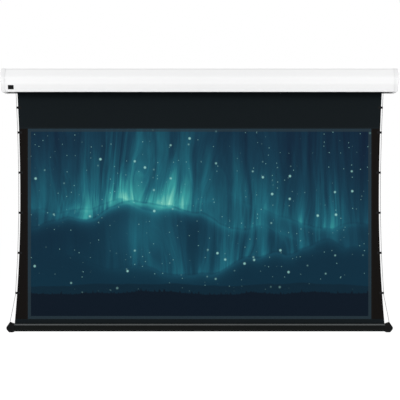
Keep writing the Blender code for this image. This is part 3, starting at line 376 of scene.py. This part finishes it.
def blackClothFinish(name):
    s = blackCloths[name]
    cloth = Finish(name, s["colour"], coating["roughness"], **{"Specular IOR Level": s["gloss"]})
    place = cloth.place()
    x, _, z = cloth.split(place)
    weft = threads(cloth, coating["weave"])
    patches = cloth.noise(place, coating["patchScale"], 3.0)
    fromSeam = cloth.maths("ABSOLUTE", x) - sideSeam if s["seam"] == "side" else z - topSeam
    weld = cloth.band(fromSeam, *seamWeld["band"])
    wear = patches * coating["patchShare"] + weft * (1 - coating["patchShare"])
    colour = cloth.mix(wear, s["colour"], scaled(s["colour"], coating["lighter"]))
    cloth.set("Base Color", cloth.mix(weld, colour, scaled(s["colour"], seamWeld["lighter"])))
    rougher = coating["rougher"] * patches - seamWeld["smoother"] * weld
    cloth.set("Roughness", coating["roughness"] + rougher)
    pressed = seamWeld["pressed"] * weld
    cloth.bump(weft * (1 - pressed) - pressed, *coating["bump"])
    return cloth


# The picture thrown on the screen: northern lights over low hills, drawn in the cloth's own UV
picture = {
    "aspect": 2 * sideSeam / (topSeam - footSeam),
    "roughness": 0.60,
    "gloss": 0.05,
    "weave": 0.0009,
    "bump": (0.18, 0.00008),
    "skyTop": (0.0026, 0.0080, 0.024),
    "skyLow": (0.0032, 0.026, 0.048),
    "skyEdges": (0.95, 0.10),
    "driftScale": 2.1,
    "shine": {"base": 0.58, "drift": 0.46},
    "glow": {"across": 0.60, "up": 0.46, "reach": 0.16, "base": 0.25, "drift": 0.85},
    "star": {"colour": (0.36, 0.72, 0.66), "core": 0.25, "base": 0.35, "share": 0.8},
    "rim": {"colour": (0.020, 0.036, 0.046), "edges": (0.01696, 0.0144), "share": 0.72},
}
curtains = [
    {"foot": 0.47, "swing": 0.085, "turns": 4.6, "start": 0.4, "reach": 0.34, "rays": 24.0,
     "middle": 0.36, "spread": 0.30, "strength": 1.00},
    {"foot": 0.30, "swing": 0.060, "turns": 6.1, "start": 2.2, "reach": 0.26, "rays": 33.0,
     "middle": 0.62, "spread": 0.30, "strength": 0.62},
    {"foot": 0.66, "swing": 0.070, "turns": 3.4, "start": 4.1, "reach": 0.22, "rays": 19.0,
     "middle": 0.22, "spread": 0.26, "strength": 0.55},
    {"foot": 0.56, "swing": 0.055, "turns": 5.3, "start": 5.4, "reach": 0.30, "rays": 41.0,
     "middle": 0.84, "spread": 0.20, "strength": 0.45},
]
shineStops = [
    (0.00, (0.000, 0.000, 0.000)),
    (0.16, (0.004, 0.034, 0.050)),
    (0.36, (0.010, 0.105, 0.135)),
    (0.60, (0.035, 0.290, 0.280)),
    (0.82, (0.170, 0.560, 0.440)),
    (1.00, (0.520, 0.860, 0.660)),
]
curtainShape = {
    "bendPitch": (2.6, 0.35),
    "bendScale": 1.5,
    "bend": 0.30,
    "footEdge": 0.012,
    "underFall": 42.0,
    "underEdges": (0.004, -0.012),
    "underShare": 0.55,
    "rayBend": 9.0,
    "rayRise": 1.1,
    "rayEdges": (0.30, 0.78),
    "dim": 0.18,
    "bright": 0.95,
}
starSizes = [
    {"scale": 21.0, "size": 0.20, "rarity": 0.72, "glare": 0.55},
    {"scale": 48.0, "size": 0.16, "rarity": 0.62, "glare": 0.35},
]
hills = {
    "far": {
        "colour": (0.0028, 0.0130, 0.0240), "foot": 0.125, "rise": 0.11, "pitch": 2.2, "row": 4.0,
        "scale": 1.3, "detail": 4.0, "rough": 0.50, "edge": 0.004, "share": 0.62,
    },
    "near": {
        "colour": (0.0020, 0.0066, 0.0140), "foot": 0.085, "rise": 0.10, "pitch": 3.1, "row": 0.0,
        "scale": 1.4, "detail": 5.0, "rough": 0.55, "edge": 0.003, "share": 1.0,
    },
}
firs = {"pitch": 150.0, "row": 9.0, "edges": (0.45, 0.80), "height": 0.020}


# One curtain of light: a sharp winding foot, and rays that fade upwards
def curtainLight(art, u, v, s):
    shape = curtainShape
    start = s["start"]
    wide, tall = shape["bendPitch"]
    bend = art.noise(art.join(u * wide + start, v * tall, start), shape["bendScale"], 3.0) - 0.5
    foot = s["foot"] + s["swing"] * art.maths("SINE", u * s["turns"] + start) + bend * shape["bend"]
    above = v - foot
    fade = art.maths("EXPONENT", above * (-1 / s["reach"]))
    fade = fade * art.smooth(above, -shape["footEdge"], shape["footEdge"])
    under = art.maths("EXPONENT", above * shape["underFall"]) * art.smooth(above, *shape["underEdges"])
    along = art.join(u * s["rays"] + bend * shape["rayBend"], v * shape["rayRise"], start)
    rays = art.smooth(art.noise(along, 1.0, 4.0, 0.62), *shape["rayEdges"])
    aside = (u - s["middle"]) / s["spread"]
    window = art.maths("EXPONENT", aside * aside * -1.0)
    light = fade * (shape["dim"] + shape["bright"] * rays) + under * shape["underShare"]
    return light * window * s["strength"]


def ridge(art, u, s):
    along = art.join(u * s["pitch"], s["row"], 0.0)
    return s["foot"] + s["rise"] * art.noise(along, s["scale"], s["detail"], s["rough"])


# Far hills, and near ones with a row of firs along their top
def drawHills(art, sky, u, v):
    trees = art.noise(art.join(u * firs["pitch"], firs["row"], 0.0), 1.0, 2.0)
    tops = {
        "far": ridge(art, u, hills["far"]),
        "near": ridge(art, u, hills["near"]) + firs["height"] * art.smooth(trees, *firs["edges"]),
    }
    for name, top in tops.items():
        s = hills[name]
        below = art.smooth(v - top, s["edge"], -s["edge"])
        sky = art.mix(below * s["share"], sky, s["colour"])
    return sky


def drawStars(art, sky, point):
    s = picture["star"]
    for star in starSizes:
        cell = art.cells(point, star["scale"])
        chance = art.split(cell.other("Color"))[0]
        shape = art.smooth(cell, star["size"], star["size"] * s["core"])
        glare = shape * (chance > star["rarity"]) * (s["base"] + chance * star["glare"])
        sky = art.mix(glare * s["share"], sky, s["colour"])
    return sky


def pictureFinish():
    s = picture
    art = Finish("thrownPicture", s["skyLow"], s["roughness"], **{"Specular IOR Level": s["gloss"]})
    u, v, _ = art.split(art.unwrapped())
    across = u * s["aspect"]
    point = art.join(across, v, 0.0)
    drift = art.noise(point, s["driftScale"], 4.0, 0.55)
    light = curtainLight(art, u, v, curtains[0])
    for curtain in curtains[1:]:
        light = light + curtainLight(art, u, v, curtain)
    dx = across - s["glow"]["across"]
    dy = v - s["glow"]["up"]
    halo = art.maths("EXPONENT", (dx * dx + dy * dy) * (-1 / s["glow"]["reach"] ** 2))
    light = light + halo * (s["glow"]["base"] + s["glow"]["drift"] * drift * light)
    sky = art.mix(art.smooth(v, *s["skyEdges"]), s["skyTop"], s["skyLow"])
    shine = art.ramp(light * (s["shine"]["base"] + s["shine"]["drift"] * drift), shineStops)
    sky = art.mix(1.0, sky, shine, "ADD")
    sky = drawStars(art, sky, point)
    sky = drawHills(art, sky, u, v)
    side = art.maths("MINIMUM", u, 1 - u) * s["aspect"]
    fromRim = art.maths("MINIMUM", side, art.maths("MINIMUM", v, 1 - v))
    inRim = art.smooth(fromRim, *s["rim"]["edges"])
    art.set("Base Color", art.mix(inRim * s["rim"]["share"], sky, s["rim"]["colour"]))
    art.bump(threads(art, s["weave"]), *s["bump"])
    return art


# Strap tape with a diagonal rib
tape = {
    "dark": (0.0035, 0.0035, 0.0040),
    "light": (0.0085, 0.0085, 0.0090),
    "rib": 0.0012,
    "roughness": 0.66,
    "gloss": 0.10,
    "bump": (0.45, 0.0002),
}
# The braid of the tension cords, with a paler fleck woven in
braid = {
    "dark": (0.010, 0.010, 0.011),
    "light": (0.034, 0.035, 0.037),
    "strands": 4,
    "lay": 0.0048,
    "fleck": (0.060, 0.060, 0.064),
    "fleckEvery": 0.0192,
    "fleckEdges": (0.55, 0.95),
    "fleckShare": 0.35,
    "roughness": 0.62,
    "gloss": 0.25,
    "bump": (0.8, 0.0003),
}


def tapeFinish():
    s = tape
    strap = Finish("tabTape", s["dark"], s["roughness"], **{"Specular IOR Level": s["gloss"]})
    x, _, z = strap.split(strap.place())
    turn = math.tau / s["rib"]
    rib = strap.maths("SINE", (x + z) * turn) * strap.maths("SINE", (x - z) * turn)
    strap.set("Base Color", strap.mix(rib * 0.5 + 0.5, s["dark"], s["light"]))
    strap.bump(rib, *s["bump"])
    return strap


def braidFinish():
    s = braid
    cord = Finish("braidedCord", s["light"], s["roughness"], **{"Specular IOR Level": s["gloss"]})
    u, v, _ = cord.split(cord.unwrapped())
    around = u * (math.tau * s["strands"])
    along = v * (math.tau / s["lay"])
    plait = cord.maths("MAXIMUM", cord.maths("SINE", around + along), cord.maths("SINE", around - along))
    marks = cord.maths("SINE", v * (math.tau / s["fleckEvery"]) + u * math.tau)
    flecks = cord.smooth(marks, *s["fleckEdges"]) * s["fleckShare"]
    colour = cord.mix(plait * 0.5 + 0.5, s["dark"], s["light"])
    cord.set("Base Color", cord.mix(flecks, colour, s["fleck"]))
    cord.bump(plait, *s["bump"])
    return cord


# The bare gloss plate on the case's chin
platePaint = {
    "dark": (0.0045, 0.0045, 0.0050),
    "light": (0.0090, 0.0090, 0.0095),
    "hazeScale": 90.0,
    "waveScale": 40.0,
    "roughness": 0.09,
    "rougher": 0.10,
    "gloss": 0.06,
    "bump": (0.03, 0.0002),
}


def badgeFinish():
    s = platePaint
    plate = Finish("glossPlate", s["dark"], s["roughness"], **{"Specular IOR Level": s["gloss"]})
    place = plate.place()
    haze = plate.noise(place, s["hazeScale"], 3.0)
    plate.set("Base Color", plate.mix(haze, s["dark"], s["light"]))
    plate.set("Roughness", s["roughness"] + s["rougher"] * haze)
    plate.bump(plate.noise(place, s["waveScale"]), *s["bump"])
    return plate


finishes = {name: plasticFinish(name) for name in plastics}
finishes.update({name: metalFinish(name) for name in metals})
finishes.update({name: blackClothFinish(name) for name in blackCloths})
finishes.update({
    "casePaint": casePaintFinish(),
    "zincSteel": zincFinish(),
    "barPaint": barFinish(),
    "picture": pictureFinish(),
    "tape": tapeFinish(),
    "braid": braidFinish(),
    "badge": badgeFinish(),
})
print(f"finishes: {len(finishes)}")

# Which CAD pieces wear which finish; screws, hangers and brackets are zinc-plated
wearing = {
    "casePaint": ["case_shell", "motor_end_plate", "idler_end_plate"],
    "capPlastic": ["end_cap_left", "end_cap_right"],
    "drawnAluminium": ["roller_tube"],
    "turnedSteel": ["idler_pin", "motor_shaft"],
    "motorTube": ["motor_body"],
    "barPaint": ["bottom_bar"],
    "rubber": ["motor_lead"],
    "blackPlastic": [
        "motor_head", "motor_crown", "drive_wheel", "power_inlet", "cord_spool_left", "cord_spool_right",
        "bar_end_cap_left", "bar_end_cap_right", "tension_adjuster_left", "tension_adjuster_right",
    ],
    "greyPlastic": ["receiver_box", "idler_bearing", "idler_housing", "idler_plug", "fabric_spline"],
}
finishOf = {name: finish for finish, names in wearing.items() for name in names}
for name, node in nodes.items():
    material = finishes[finishOf.get(name, "zincSteel")].material
    if node.data.materials:
        for index in range(len(node.data.materials)):
            node.data.materials[index] = material
    else:
        node.data.materials.append(material)
print("CAD pieces: dressed")

sharpAngle = math.radians(40)


def makePiece(name, vertices, faces, looks, body, faceLooks=None, uvs=None):
    mesh = bpy.data.meshes.new(name)
    mesh.from_pydata([tuple(vertex) for vertex in vertices], [], faces)
    for look in looks:
        mesh.materials.append(finishes[look].material)
    if faceLooks:
        mesh.polygons.foreach_set("material_index", faceLooks)
    if uvs:
        layer = mesh.uv_layers.new(name="UVMap")
        for loop in mesh.loops:
            layer.data[loop.index].uv = uvs[loop.vertex_index]
    mesh.validate()
    mesh.shade_smooth()
    mesh.set_sharp_from_angle(angle=sharpAngle)
    piece = bpy.data.objects.new(name, mesh)
    bpy.context.scene.collection.objects.link(piece)
    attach(piece, body)
    return piece


# Each hanging piece gets its own mesh; drawUp works out the share of it that the bar's full lift would
# keep, but nothing moves it. The tops given are the roller for the cloth, and just below the spools for the
# tabs and cords.
lift = next(joint for joint in frame["joints"] if joint["name"] == "bar_lift")
liftHeight = max(abs(end) for end in lift["range_m"])
gatherAt = {"cloth": 0.0, "edge": -0.010}


def drawUp(piece, top, foot):
    keep = (top - foot - liftHeight) / (top - foot)
    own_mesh(piece)


# The cloth: its edges curve in between the case and the bar, as the cords pull them
clothShape = {
    "waist": 1.060,
    "topFlare": 0.017,
    "footFlare": 0.034,
    "caseFoot": -0.070,
    "waistHeight": -0.700,
    "hem": 0.004,
    "hemAtBar": 0.003,
    "tabs": 6,
}
puckers = {"height": 0.00045, "start": 0.004, "rise": 0.012, "reach": 0.060, "folds": 9}
clothFront, clothBack = pictureLow.y, pictureHigh.y
clothMiddle = (clothFront + clothBack) / 2
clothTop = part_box("black_drop")[1].z
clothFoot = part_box("masking_bottom")[0].z
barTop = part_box("bottom_bar")[1].z
tabHeights = []
for k in range(clothShape["tabs"]):
    tabLow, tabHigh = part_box(f"tab_right_{k + 1}")
    tabHeights.append((tabLow.z + tabHigh.z) / 2)


# The line that the tabs and the cords are set out from
def clothHalf(z):
    s = clothShape
    if z > s["waistHeight"]:
        share = (min(z, s["caseFoot"]) - s["waistHeight"]) / (s["caseFoot"] - s["waistHeight"])
        return s["waist"] + s["topFlare"] * share**2
    return s["waist"] + s["footFlare"] * ((s["waistHeight"] - z) / (s["waistHeight"] - barTop)) ** 2


# The cut edge: a narrow hem outside that line, which runs out on the roller
def rightEdge(z):
    s = clothShape
    if z > s["caseFoot"]:
        return clothHalf(z) + s["hem"] * (clothTop - z) / (clothTop - s["caseFoot"])
    lower = max(0.0, (s["waistHeight"] - z) / (s["waistHeight"] - barTop))
    return clothHalf(z) + s["hem"] + (s["hemAtBar"] - s["hem"]) * min(1.0, lower)


def leftEdge(z):
    return -rightEdge(z)


# Faint puckers fan inwards from each tab, where it pulls on the edge
def puckerAt(x, z):
    s = puckers
    fromEdge = rightEdge(z) - abs(x)
    total = 0.0
    for height in tabHeights:
        away = math.hypot(fromEdge, z - height)
        if s["start"] < away < s["reach"]:
            fade = (1 - away / s["reach"]) ** 2 * min(1.0, (away - s["start"]) / s["rise"])
            total += fade * math.cos(s["folds"] * math.atan2(z - height, fromEdge))
    return s["height"] * total


def makeCloth(name, left, right, top, foot, columns, rows, looks):
    vertices, uvs, faces, faceLooks = [], [], [], []
    for y in (clothFront, clothBack):
        for row in range(rows + 1):
            z = top + (foot - top) * row / rows
            for column in range(columns + 1):
                x = left(z) + (right(z) - left(z)) * column / columns
                vertices.append((x, y + puckerAt(x, z), z))
                uvs.append((column / columns, 1 - row / rows))
    wide = columns + 1
    back = wide * (rows + 1)
    for row in range(rows):
        for column in range(columns):
            a = row * wide + column
            faces.append((a, a + wide, a + wide + 1, a + 1))
            faces.append((back + a, back + a + 1, back + a + wide + 1, back + a + wide))
            faceLooks += [0, 1]
    rim = list(range(columns))
    rim += [row * wide + columns for row in range(rows)]
    rim += [rows * wide + column for column in range(columns, 0, -1)]
    rim += [row * wide for row in range(rows, 0, -1)]
    for a, b in zip(rim, rim[1:] + rim[:1]):
        faces.append((a, b, back + b, back + a))
        faceLooks.append(1)
    return makePiece(name, vertices, faces, looks, "case", faceLooks, uvs)


def leftSeam(z):
    return -sideSeam


def rightSeam(z):
    return sideSeam


sheets = {
    "drop_sheet": {
        "node": "black_drop", "slot": "black_cloth", "look": "dropCloth", "grid": (220, 44),
        "edges": (leftEdge, rightEdge), "heights": (clothTop, topSeam),
    },
    "picture_sheet": {
        "node": "viewing_surface", "slot": "picture_cloth", "look": "picture", "grid": (128, 72),
        "edges": (leftSeam, rightSeam), "heights": (topSeam, footSeam),
    },
    "mask_sheet_left": {
        "node": "masking_left", "slot": "mask_cloth", "look": "maskCloth", "grid": (14, 216),
        "edges": (leftEdge, leftSeam), "heights": (topSeam, footSeam),
    },
    "mask_sheet_right": {
        "node": "masking_right", "slot": "mask_cloth", "look": "maskCloth", "grid": (14, 216),
        "edges": (rightSeam, rightEdge), "heights": (topSeam, footSeam),
    },
    "foot_sheet": {
        "node": "masking_bottom", "slot": "black_cloth", "look": "dropCloth", "grid": (160, 5),
        "edges": (leftEdge, rightEdge), "heights": (footSeam, clothFoot),
    },
}


# A cloth's greatest width and its area before it was hung
def flatSize(left, right, top, foot, steps=60):
    heights = [top + (foot - top) * (step + 0.5) / steps for step in range(steps)]
    widths = [right(z) - left(z) for z in heights]
    return max(widths), sum(widths) * (top - foot) / steps


for name, s in sheets.items():
    left, right = s["edges"]
    top, foot = s["heights"]
    cloth = makeCloth(name, left, right, top, foot, *s["grid"], [s["look"], "clothBack"])
    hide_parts(s["node"])
    width, area = flatSize(left, right, top, foot)
    top - foot
    drawUp(cloth, gatherAt["cloth"], clothFoot)
print(f"cloth: {len(sheets)} sheets welded edge to edge")

# The cloth that stays on the roller: three and a half turns, wound as a spiral
roll = {"turns": 3.5, "inner": 0.03835, "thickness": 0.0005, "steps": 48, "columns": 24}


def makeRoll():
    low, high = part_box("fabric_roll")
    middle = (low + high) / 2
    outer = (high.z - low.z) / 2 - roll["thickness"]
    count = int(roll["turns"] * roll["steps"])
    vertices, faces = [], []
    for step in range(count + 1):
        share = step / count
        angle = math.tau * roll["turns"] * (share - 1)
        inner = roll["inner"] + (outer - roll["inner"]) * share
        for radius in (inner, inner + roll["thickness"]):
            for column in range(roll["columns"] + 1):
                x = low.x + (high.x - low.x) * column / roll["columns"]
                y = middle.y + radius * math.cos(angle)
                vertices.append((x, y, middle.z + radius * math.sin(angle)))
    wide = roll["columns"] + 1
    ring = 2 * wide
    for step in range(count):
        a, b = step * ring, (step + 1) * ring
        for column in range(roll["columns"]):
            near, far = a + column, b + column
            faces.append((near, near + 1, far + 1, far))
            faces.append((near + wide, far + wide, far + wide + 1, near + wide + 1))
        faces.append((a, b, b + wide, a + wide))
        faces.append((a + wide - 1, a + ring - 1, b + ring - 1, b + wide - 1))
    for column in range(roll["columns"]):
        first, last = column, count * ring + column
        faces.append((first, first + wide, first + wide + 1, first + 1))
        faces.append((last + 1, last + wide + 1, last + wide, last))
    piece = makePiece("cloth_on_roller", vertices, faces, ["dropCloth"], "roller")
    length = math.tau * roll["turns"] * (roll["inner"] + outer) / 2
    return piece, length


rolled, rolledLength = makeRoll()
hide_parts("fabric_roll")
print(f"roll: {rolledLength:.2f} m of cloth on the tube")

# Tabs: a strap folded round the cord and welded to both faces of the cloth. The cord stands off
# from the line that the tabs are set out from.
tab = {
    "length": 0.028,
    "height": 0.013,
    "strap": 0.0008,
    "clear": 0.0003,
    "loop": 0.0016,
    "standoff": 0.012,
    "cutEnd": 0.86,
    "legSteps": 12,
    "loopSteps": 24,
}
# The strap's half section: shares of its height across, and of its thickness there
strapSection = [(-0.5, 0.55), (-0.454, 0.9), (-0.377, 1.0), (0.0, 1.0)]
strapSection += [(-across, thick) for across, thick in reversed(strapSection[:-1])]
weldDimples = {"from": 0.0016, "to": 0.0096, "across": 0.4, "depth": 0.0002}


# The strap's middle line, from one leg's end round the cord to the other's
def strapLine(edge):
    s = tab
    cordX = edge + s["standoff"]
    radius = s["loop"] + s["strap"] / 2
    leg = (clothBack - clothFront) / 2 + s["clear"] + s["strap"] / 2
    start = cordX + s["loop"] + s["strap"] - s["length"]
    meet = math.asin(leg / radius)
    run = cordX - radius * math.cos(meet) - start
    line = [(start + run * k / s["legSteps"], -leg) for k in range(s["legSteps"] + 1)]
    back = [(x, leg) for x, _ in reversed(line)]
    for k in range(1, s["loopSteps"]):
        angle = math.pi + meet + (math.tau - 2 * meet) * k / s["loopSteps"]
        line.append((cordX + radius * math.cos(angle), radius * math.sin(angle)))
    return line + back


def makeStrap(name, side, z):
    line = strapLine(clothHalf(z))
    start = line[0][0]
    last = len(line) - 1
    vertices, faces = [], []
    for k, (x, y) in enumerate(line):
        before, after = Vector(line[max(k - 1, 0)]), Vector(line[min(k + 1, last)])
        along = (after - before).normalized()
        outward = Vector((along.y, -along.x))
        width = tab["height"] * (tab["cutEnd"] if k in (0, last) else 1.0)
        pressed = weldDimples["from"] < x - start < weldDimples["to"]
        for face in (1, -1):
            for across, thick in strapSection:
                dimple = 0.0
                if pressed and face == 1 and abs(across) < weldDimples["across"]:
                    dimple = weldDimples["depth"] * (k % 2)  # every other step along the weld
                out = face * (tab["strap"] / 2 * thick - dimple)
                at = Vector((x, y)) + outward * out
                vertices.append((side * at.x, clothMiddle + at.y, z + width * across))
    count = len(strapSection)
    ring = 2 * count
    loop = list(range(count)) + list(range(ring - 1, count - 1, -1))
    for k in range(last):
        a, b = k * ring, (k + 1) * ring
        for p, q in zip(loop, loop[1:] + loop[:1]):
            faces.append((a + p, a + q, b + q, b + p))
    faces.append(tuple(reversed(loop)))
    faces.append(tuple(last * ring + p for p in loop))
    if side < 0:
        faces = [face[::-1] for face in faces]
    return makePiece(name, vertices, faces, ["tape"], "case")


for label, side in (("left", -1), ("right", 1)):
    for k, height in enumerate(tabHeights):
        strap = makeStrap(f"strap_{label}_{k + 1}", side, height)
        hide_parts(f"tab_{label}_{k + 1}")
        drawUp(strap, gatherAt["edge"], clothFoot)
print(f"tabs: {2 * len(tabHeights)} straps")

# Tension cords: taut from the spool through every tab to the ear of the bar's end cap,
# and from there down to the adjuster, where each rides with the bar
tensionCord = {
    "radius": 0.0012,
    "sides": 14,
    "inTab": 0.0075,
    "spoolX": 1.089,
    "earX": 1.124,
    "earTop": -1.4248,
    "adjuster": -1.4628,
    "step": 0.012,
}
spool = {"turns": 1.5, "pitch": 0.0026, "steps": 40}  # the turns of cord left on each spool


def makeCord(name, points, body):
    radius, sides = tensionCord["radius"], tensionCord["sides"]
    vertices, uvs, faces = [], [], []
    run = 0.0
    last = len(points) - 1
    normal = Vector((0, 1, 0))
    for k, point in enumerate(points):
        along = (points[min(k + 1, last)] - points[max(k - 1, 0)]).normalized()
        normal = (normal - along * normal.dot(along)).normalized()
        other = along.cross(normal)
        run += (point - points[max(k - 1, 0)]).length
        for m in range(sides + 1):
            angle = math.tau * m / sides
            vertices.append(point + (normal * math.cos(angle) + other * math.sin(angle)) * radius)
            uvs.append((m / sides, run))
    wide = sides + 1
    for k in range(last):
        for m in range(sides):
            a = k * wide + m
            faces.append((a, a + 1, a + wide + 1, a + wide))
    faces.append(tuple(reversed(range(sides))))
    faces.append(tuple(last * wide + m for m in range(sides)))
    piece = makePiece(name, vertices, faces, ["braid"], body, uvs=uvs)
    shape = bmesh.new()
    shape.from_mesh(piece.data)
    bmesh.ops.remove_doubles(shape, verts=shape.verts, dist=1e-7)
    bmesh.ops.recalc_face_normals(shape, faces=shape.faces)
    shape.to_mesh(piece.data)
    shape.free()
    return piece


def tautLine(side, corners):
    points = []
    for (x0, z0), (x1, z1) in zip(corners, corners[1:]):
        count = max(2, round(math.hypot(x1 - x0, z1 - z0) / tensionCord["step"]))
        for k in range(count):
            x = x0 + (x1 - x0) * k / count
            z = z0 + (z1 - z0) * k / count
            points.append(Vector((side * x, clothMiddle, z)))
    x, z = corners[-1]
    points.append(Vector((side * x, clothMiddle, z)))
    return points


def cordCorners():
    s = tensionCord
    leaves = s["spoolX"] - spool["pitch"] * spool["turns"] / 2
    corners = [(leaves, clothTop), (s["spoolX"], clothShape["caseFoot"])]
    for height in tabHeights:
        x = clothHalf(height) + tab["standoff"]
        corners += [(x, height + s["inTab"]), (x, height - s["inTab"])]
    return corners + [(s["earX"], s["earTop"])]


for label, side in (("left", -1), ("right", 1)):
    s = tensionCord
    node = f"tension_cord_{label}"
    inBar = [(s["earX"], s["earTop"]), (s["earX"], s["adjuster"])]
    upper = makeCord(f"braid_{label}", tautLine(side, cordCorners()), "case")
    lower = makeCord(f"braid_foot_{label}", tautLine(side, inBar), "bottom_bar")
    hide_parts(node)
    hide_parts(node)
    drawUp(upper, gatherAt["edge"], s["earTop"])
print("cords: 2, each in a hanging piece and a piece in the bar")


# The turns on a spool start where the cord leaves it, straight above the hanging cord
def makeSpoolTurns(label, side):
    low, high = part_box(f"cord_spool_{label}")
    middle = (low + high) / 2
    radius = clothMiddle - middle.y
    points = []
    for k in range(int(spool["turns"] * spool["steps"]) + 1):
        turn = k / spool["steps"]
        angle = math.tau * turn
        x = middle.x + side * spool["pitch"] * (turn - spool["turns"] / 2)
        y = middle.y + radius * math.cos(angle)
        points.append(Vector((x, y, middle.z + radius * math.sin(angle))))
    return makeCord(f"spool_turns_{label}", points, "roller")


# The bare badge plate, bent to the case's chin: a flat slope that rounds off at its top.
# Its rounded edge is shares of the plate's size and of how far it stands proud.
badge = {
    "middle": -1.1035,
    "width": 0.0330,
    "top": -0.0314,
    "foot": -0.0554,
    "corner": 0.0022,
    "proud": 0.0010,
    "sunk": 0.0002,
    "edge": [(1.0, 0.65), (0.985, 0.93), (0.955, 1.0)],
    "crown": 0.00012,
    "crownAt": (0.8, 0.5, 0.2),
}
chin = {"front": -0.138, "top": -0.026, "footY": -0.1225, "footZ": -0.070, "radius": 0.030}


# The chin's surface at a height, as (y, z), with the direction that it faces
def chinAt(z):
    front = Vector((chin["front"], chin["top"]))
    slope = (Vector((chin["footY"], chin["footZ"])) - front).normalized()
    turn = math.atan2(slope.x, -slope.y)
    radius = chin["radius"]
    centre = front + Vector((radius, radius * math.tan(turn / 2)))
    if z > centre.y - radius * math.sin(turn):
        angle = math.asin(min(1.0, max(0.0, (centre.y - z) / radius)))
        facing = Vector((-math.cos(angle), -math.sin(angle)))
        return centre + facing * radius, facing
    return front + slope * ((chin["top"] - z) / -slope.y), Vector((slope.y, -slope.x))


def roundedOutline(half, tall, corner, steps=6):
    outline = []
    for quarter, (sx, sz) in enumerate(((1, 1), (-1, 1), (-1, -1), (1, -1))):
        for k in range(steps + 1):
            angle = math.pi / 2 * (quarter + k / steps)
            x = sx * (half - corner) + corner * math.cos(angle)
            outline.append((x, sz * (tall - corner) + corner * math.sin(angle)))
    return outline


def makeBadge():
    s = badge
    middle = (s["top"] + s["foot"]) / 2
    outline = roundedOutline(s["width"] / 2, (s["top"] - s["foot"]) / 2, s["corner"])
    rings = [(1.0, -s["sunk"])]
    rings += [(share, s["proud"] * height) for share, height in s["edge"]]
    rings += [(share, s["proud"] + s["crown"] * (1 - share)) for share in s["crownAt"]]
    vertices, faces = [], []
    for share, lifted in rings:
        for dx, dz in outline:
            at, facing = chinAt(middle + dz * share)
            at = at + facing * lifted
            vertices.append((s["middle"] + dx * share, at.x, at.y))
    count = len(outline)
    for ring in range(len(rings) - 1):
        for m in range(count):
            a, b = ring * count + m, ring * count + (m + 1) % count
            faces.append((a, b, b + count, a + count))
    faces.append(tuple((len(rings) - 1) * count + m for m in range(count)))
    faces.append(tuple(reversed(range(count))))
    return makePiece("badge_plate", vertices, faces, ["badge"], "case")


for label, side in (("left", -1), ("right", 1)):
    makeSpoolTurns(label, side)
makeBadge()
print("small pieces: spool turns and the badge plate")

# Studio: a pale floor, soft lamps, and white behind
studio = {
    "floorDrop": 0.90,
    "floorHalf": 40.0,
    "floorColour": (0.52, 0.52, 0.52),
    "floorGrain": 1.04,
    "floorRoughness": 0.9,
    "floorLift": (0.80, 0.80, 0.80),
    "world": 0.38,
}
lamps = {
    "front_left": {"at": (-5.2, -5.0, 1.1), "size": 2.4, "power": 258.0},
    "front_right": {"at": (5.2, -5.0, 1.1), "size": 2.4, "power": 258.0},
    "back_left": {"at": (-5.4, 4.6, 0.8), "size": 2.4, "power": 120.0},
    "back_right": {"at": (5.4, 4.6, 0.8), "size": 2.4, "power": 120.0},
}
lampTarget = Vector((0.0, 0.0, -0.6))


def makeFloor():
    s = studio
    z = cadLow.z - s["floorDrop"]
    reach = s["floorHalf"]
    mesh = bpy.data.meshes.new("floor")
    corners = [(-reach, -reach, z), (reach, -reach, z), (reach, reach, z), (-reach, reach, z)]
    mesh.from_pydata(corners, [], [(0, 1, 2, 3)])
    plain = {"Specular IOR Level": 0.0, "Emission Strength": 1.0}
    paint = Finish("paleFloor", s["floorColour"], s["floorRoughness"], **plain)
    camera = paint.node("ShaderNodeLightPath", output="Is Camera Ray")
    seen = paint.maths("MAXIMUM", camera, camera.other("Is Glossy Ray"))
    grain = paint.noise(paint.place(), 3.0, 3.0)
    colour = paint.mix(grain, s["floorColour"], scaled(s["floorColour"], s["floorGrain"]))
    paint.set("Base Color", colour)
    paint.set("Emission Color", paint.mix(seen, (0.0, 0.0, 0.0), s["floorLift"]))
    mesh.materials.append(paint.material)
    floor = bpy.data.objects.new("floor", mesh)
    bpy.context.scene.collection.objects.link(floor)


def makeWorld():
    world = bpy.data.worlds.new("studio")
    world.use_nodes = True
    bpy.context.scene.world = world
    air = Shading(world.node_tree)
    camera = air.node("ShaderNodeLightPath", output="Is Camera Ray")
    seen = air.maths("MAXIMUM", camera, camera.other("Is Glossy Ray"))
    seen = air.maths("MAXIMUM", seen, camera.other("Is Transmission Ray"))
    background = world.node_tree.nodes["Background"]
    air.feed(background.inputs["Color"], (1.0, 1.0, 1.0))
    air.feed(background.inputs["Strength"], studio["world"] + (1 - studio["world"]) * seen)


def makeLamp(name, settings):
    light = bpy.data.lights.new(name, "AREA")
    light.size = settings["size"]
    light.energy = settings["power"]
    lamp = bpy.data.objects.new(name, light)
    lamp.location = settings["at"]
    lamp.rotation_mode = "QUATERNION"
    lamp.rotation_quaternion = (lampTarget - Vector(settings["at"])).to_track_quat("-Z", "Y")
    bpy.context.scene.collection.objects.link(lamp)


makeFloor()
makeWorld()
for name, settings in lamps.items():
    makeLamp(name, settings)

# The camera looks level and square on at the cloth
view = {
    "distance": 7.0,
    "aside": 0.0024,
    "height": -0.703,
    "lens": 106.2,
    "sensor": 36.0,
    "reach": 200.0,
}
eye = bpy.data.cameras.new("photo_camera")
eye.lens = view["lens"]
eye.sensor_width = view["sensor"]
eye.clip_end = view["reach"]
camera = bpy.data.objects.new("photo_camera", eye)
camera.location = (view["aside"], clothMiddle - view["distance"], view["height"])
camera.rotation_euler = (math.radians(90), 0.0, 0.0)
bpy.context.scene.collection.objects.link(camera)
bpy.context.scene.camera = camera
bpy.context.scene.view_settings.view_transform = "Standard"
print("studio: floor, lamps and camera")
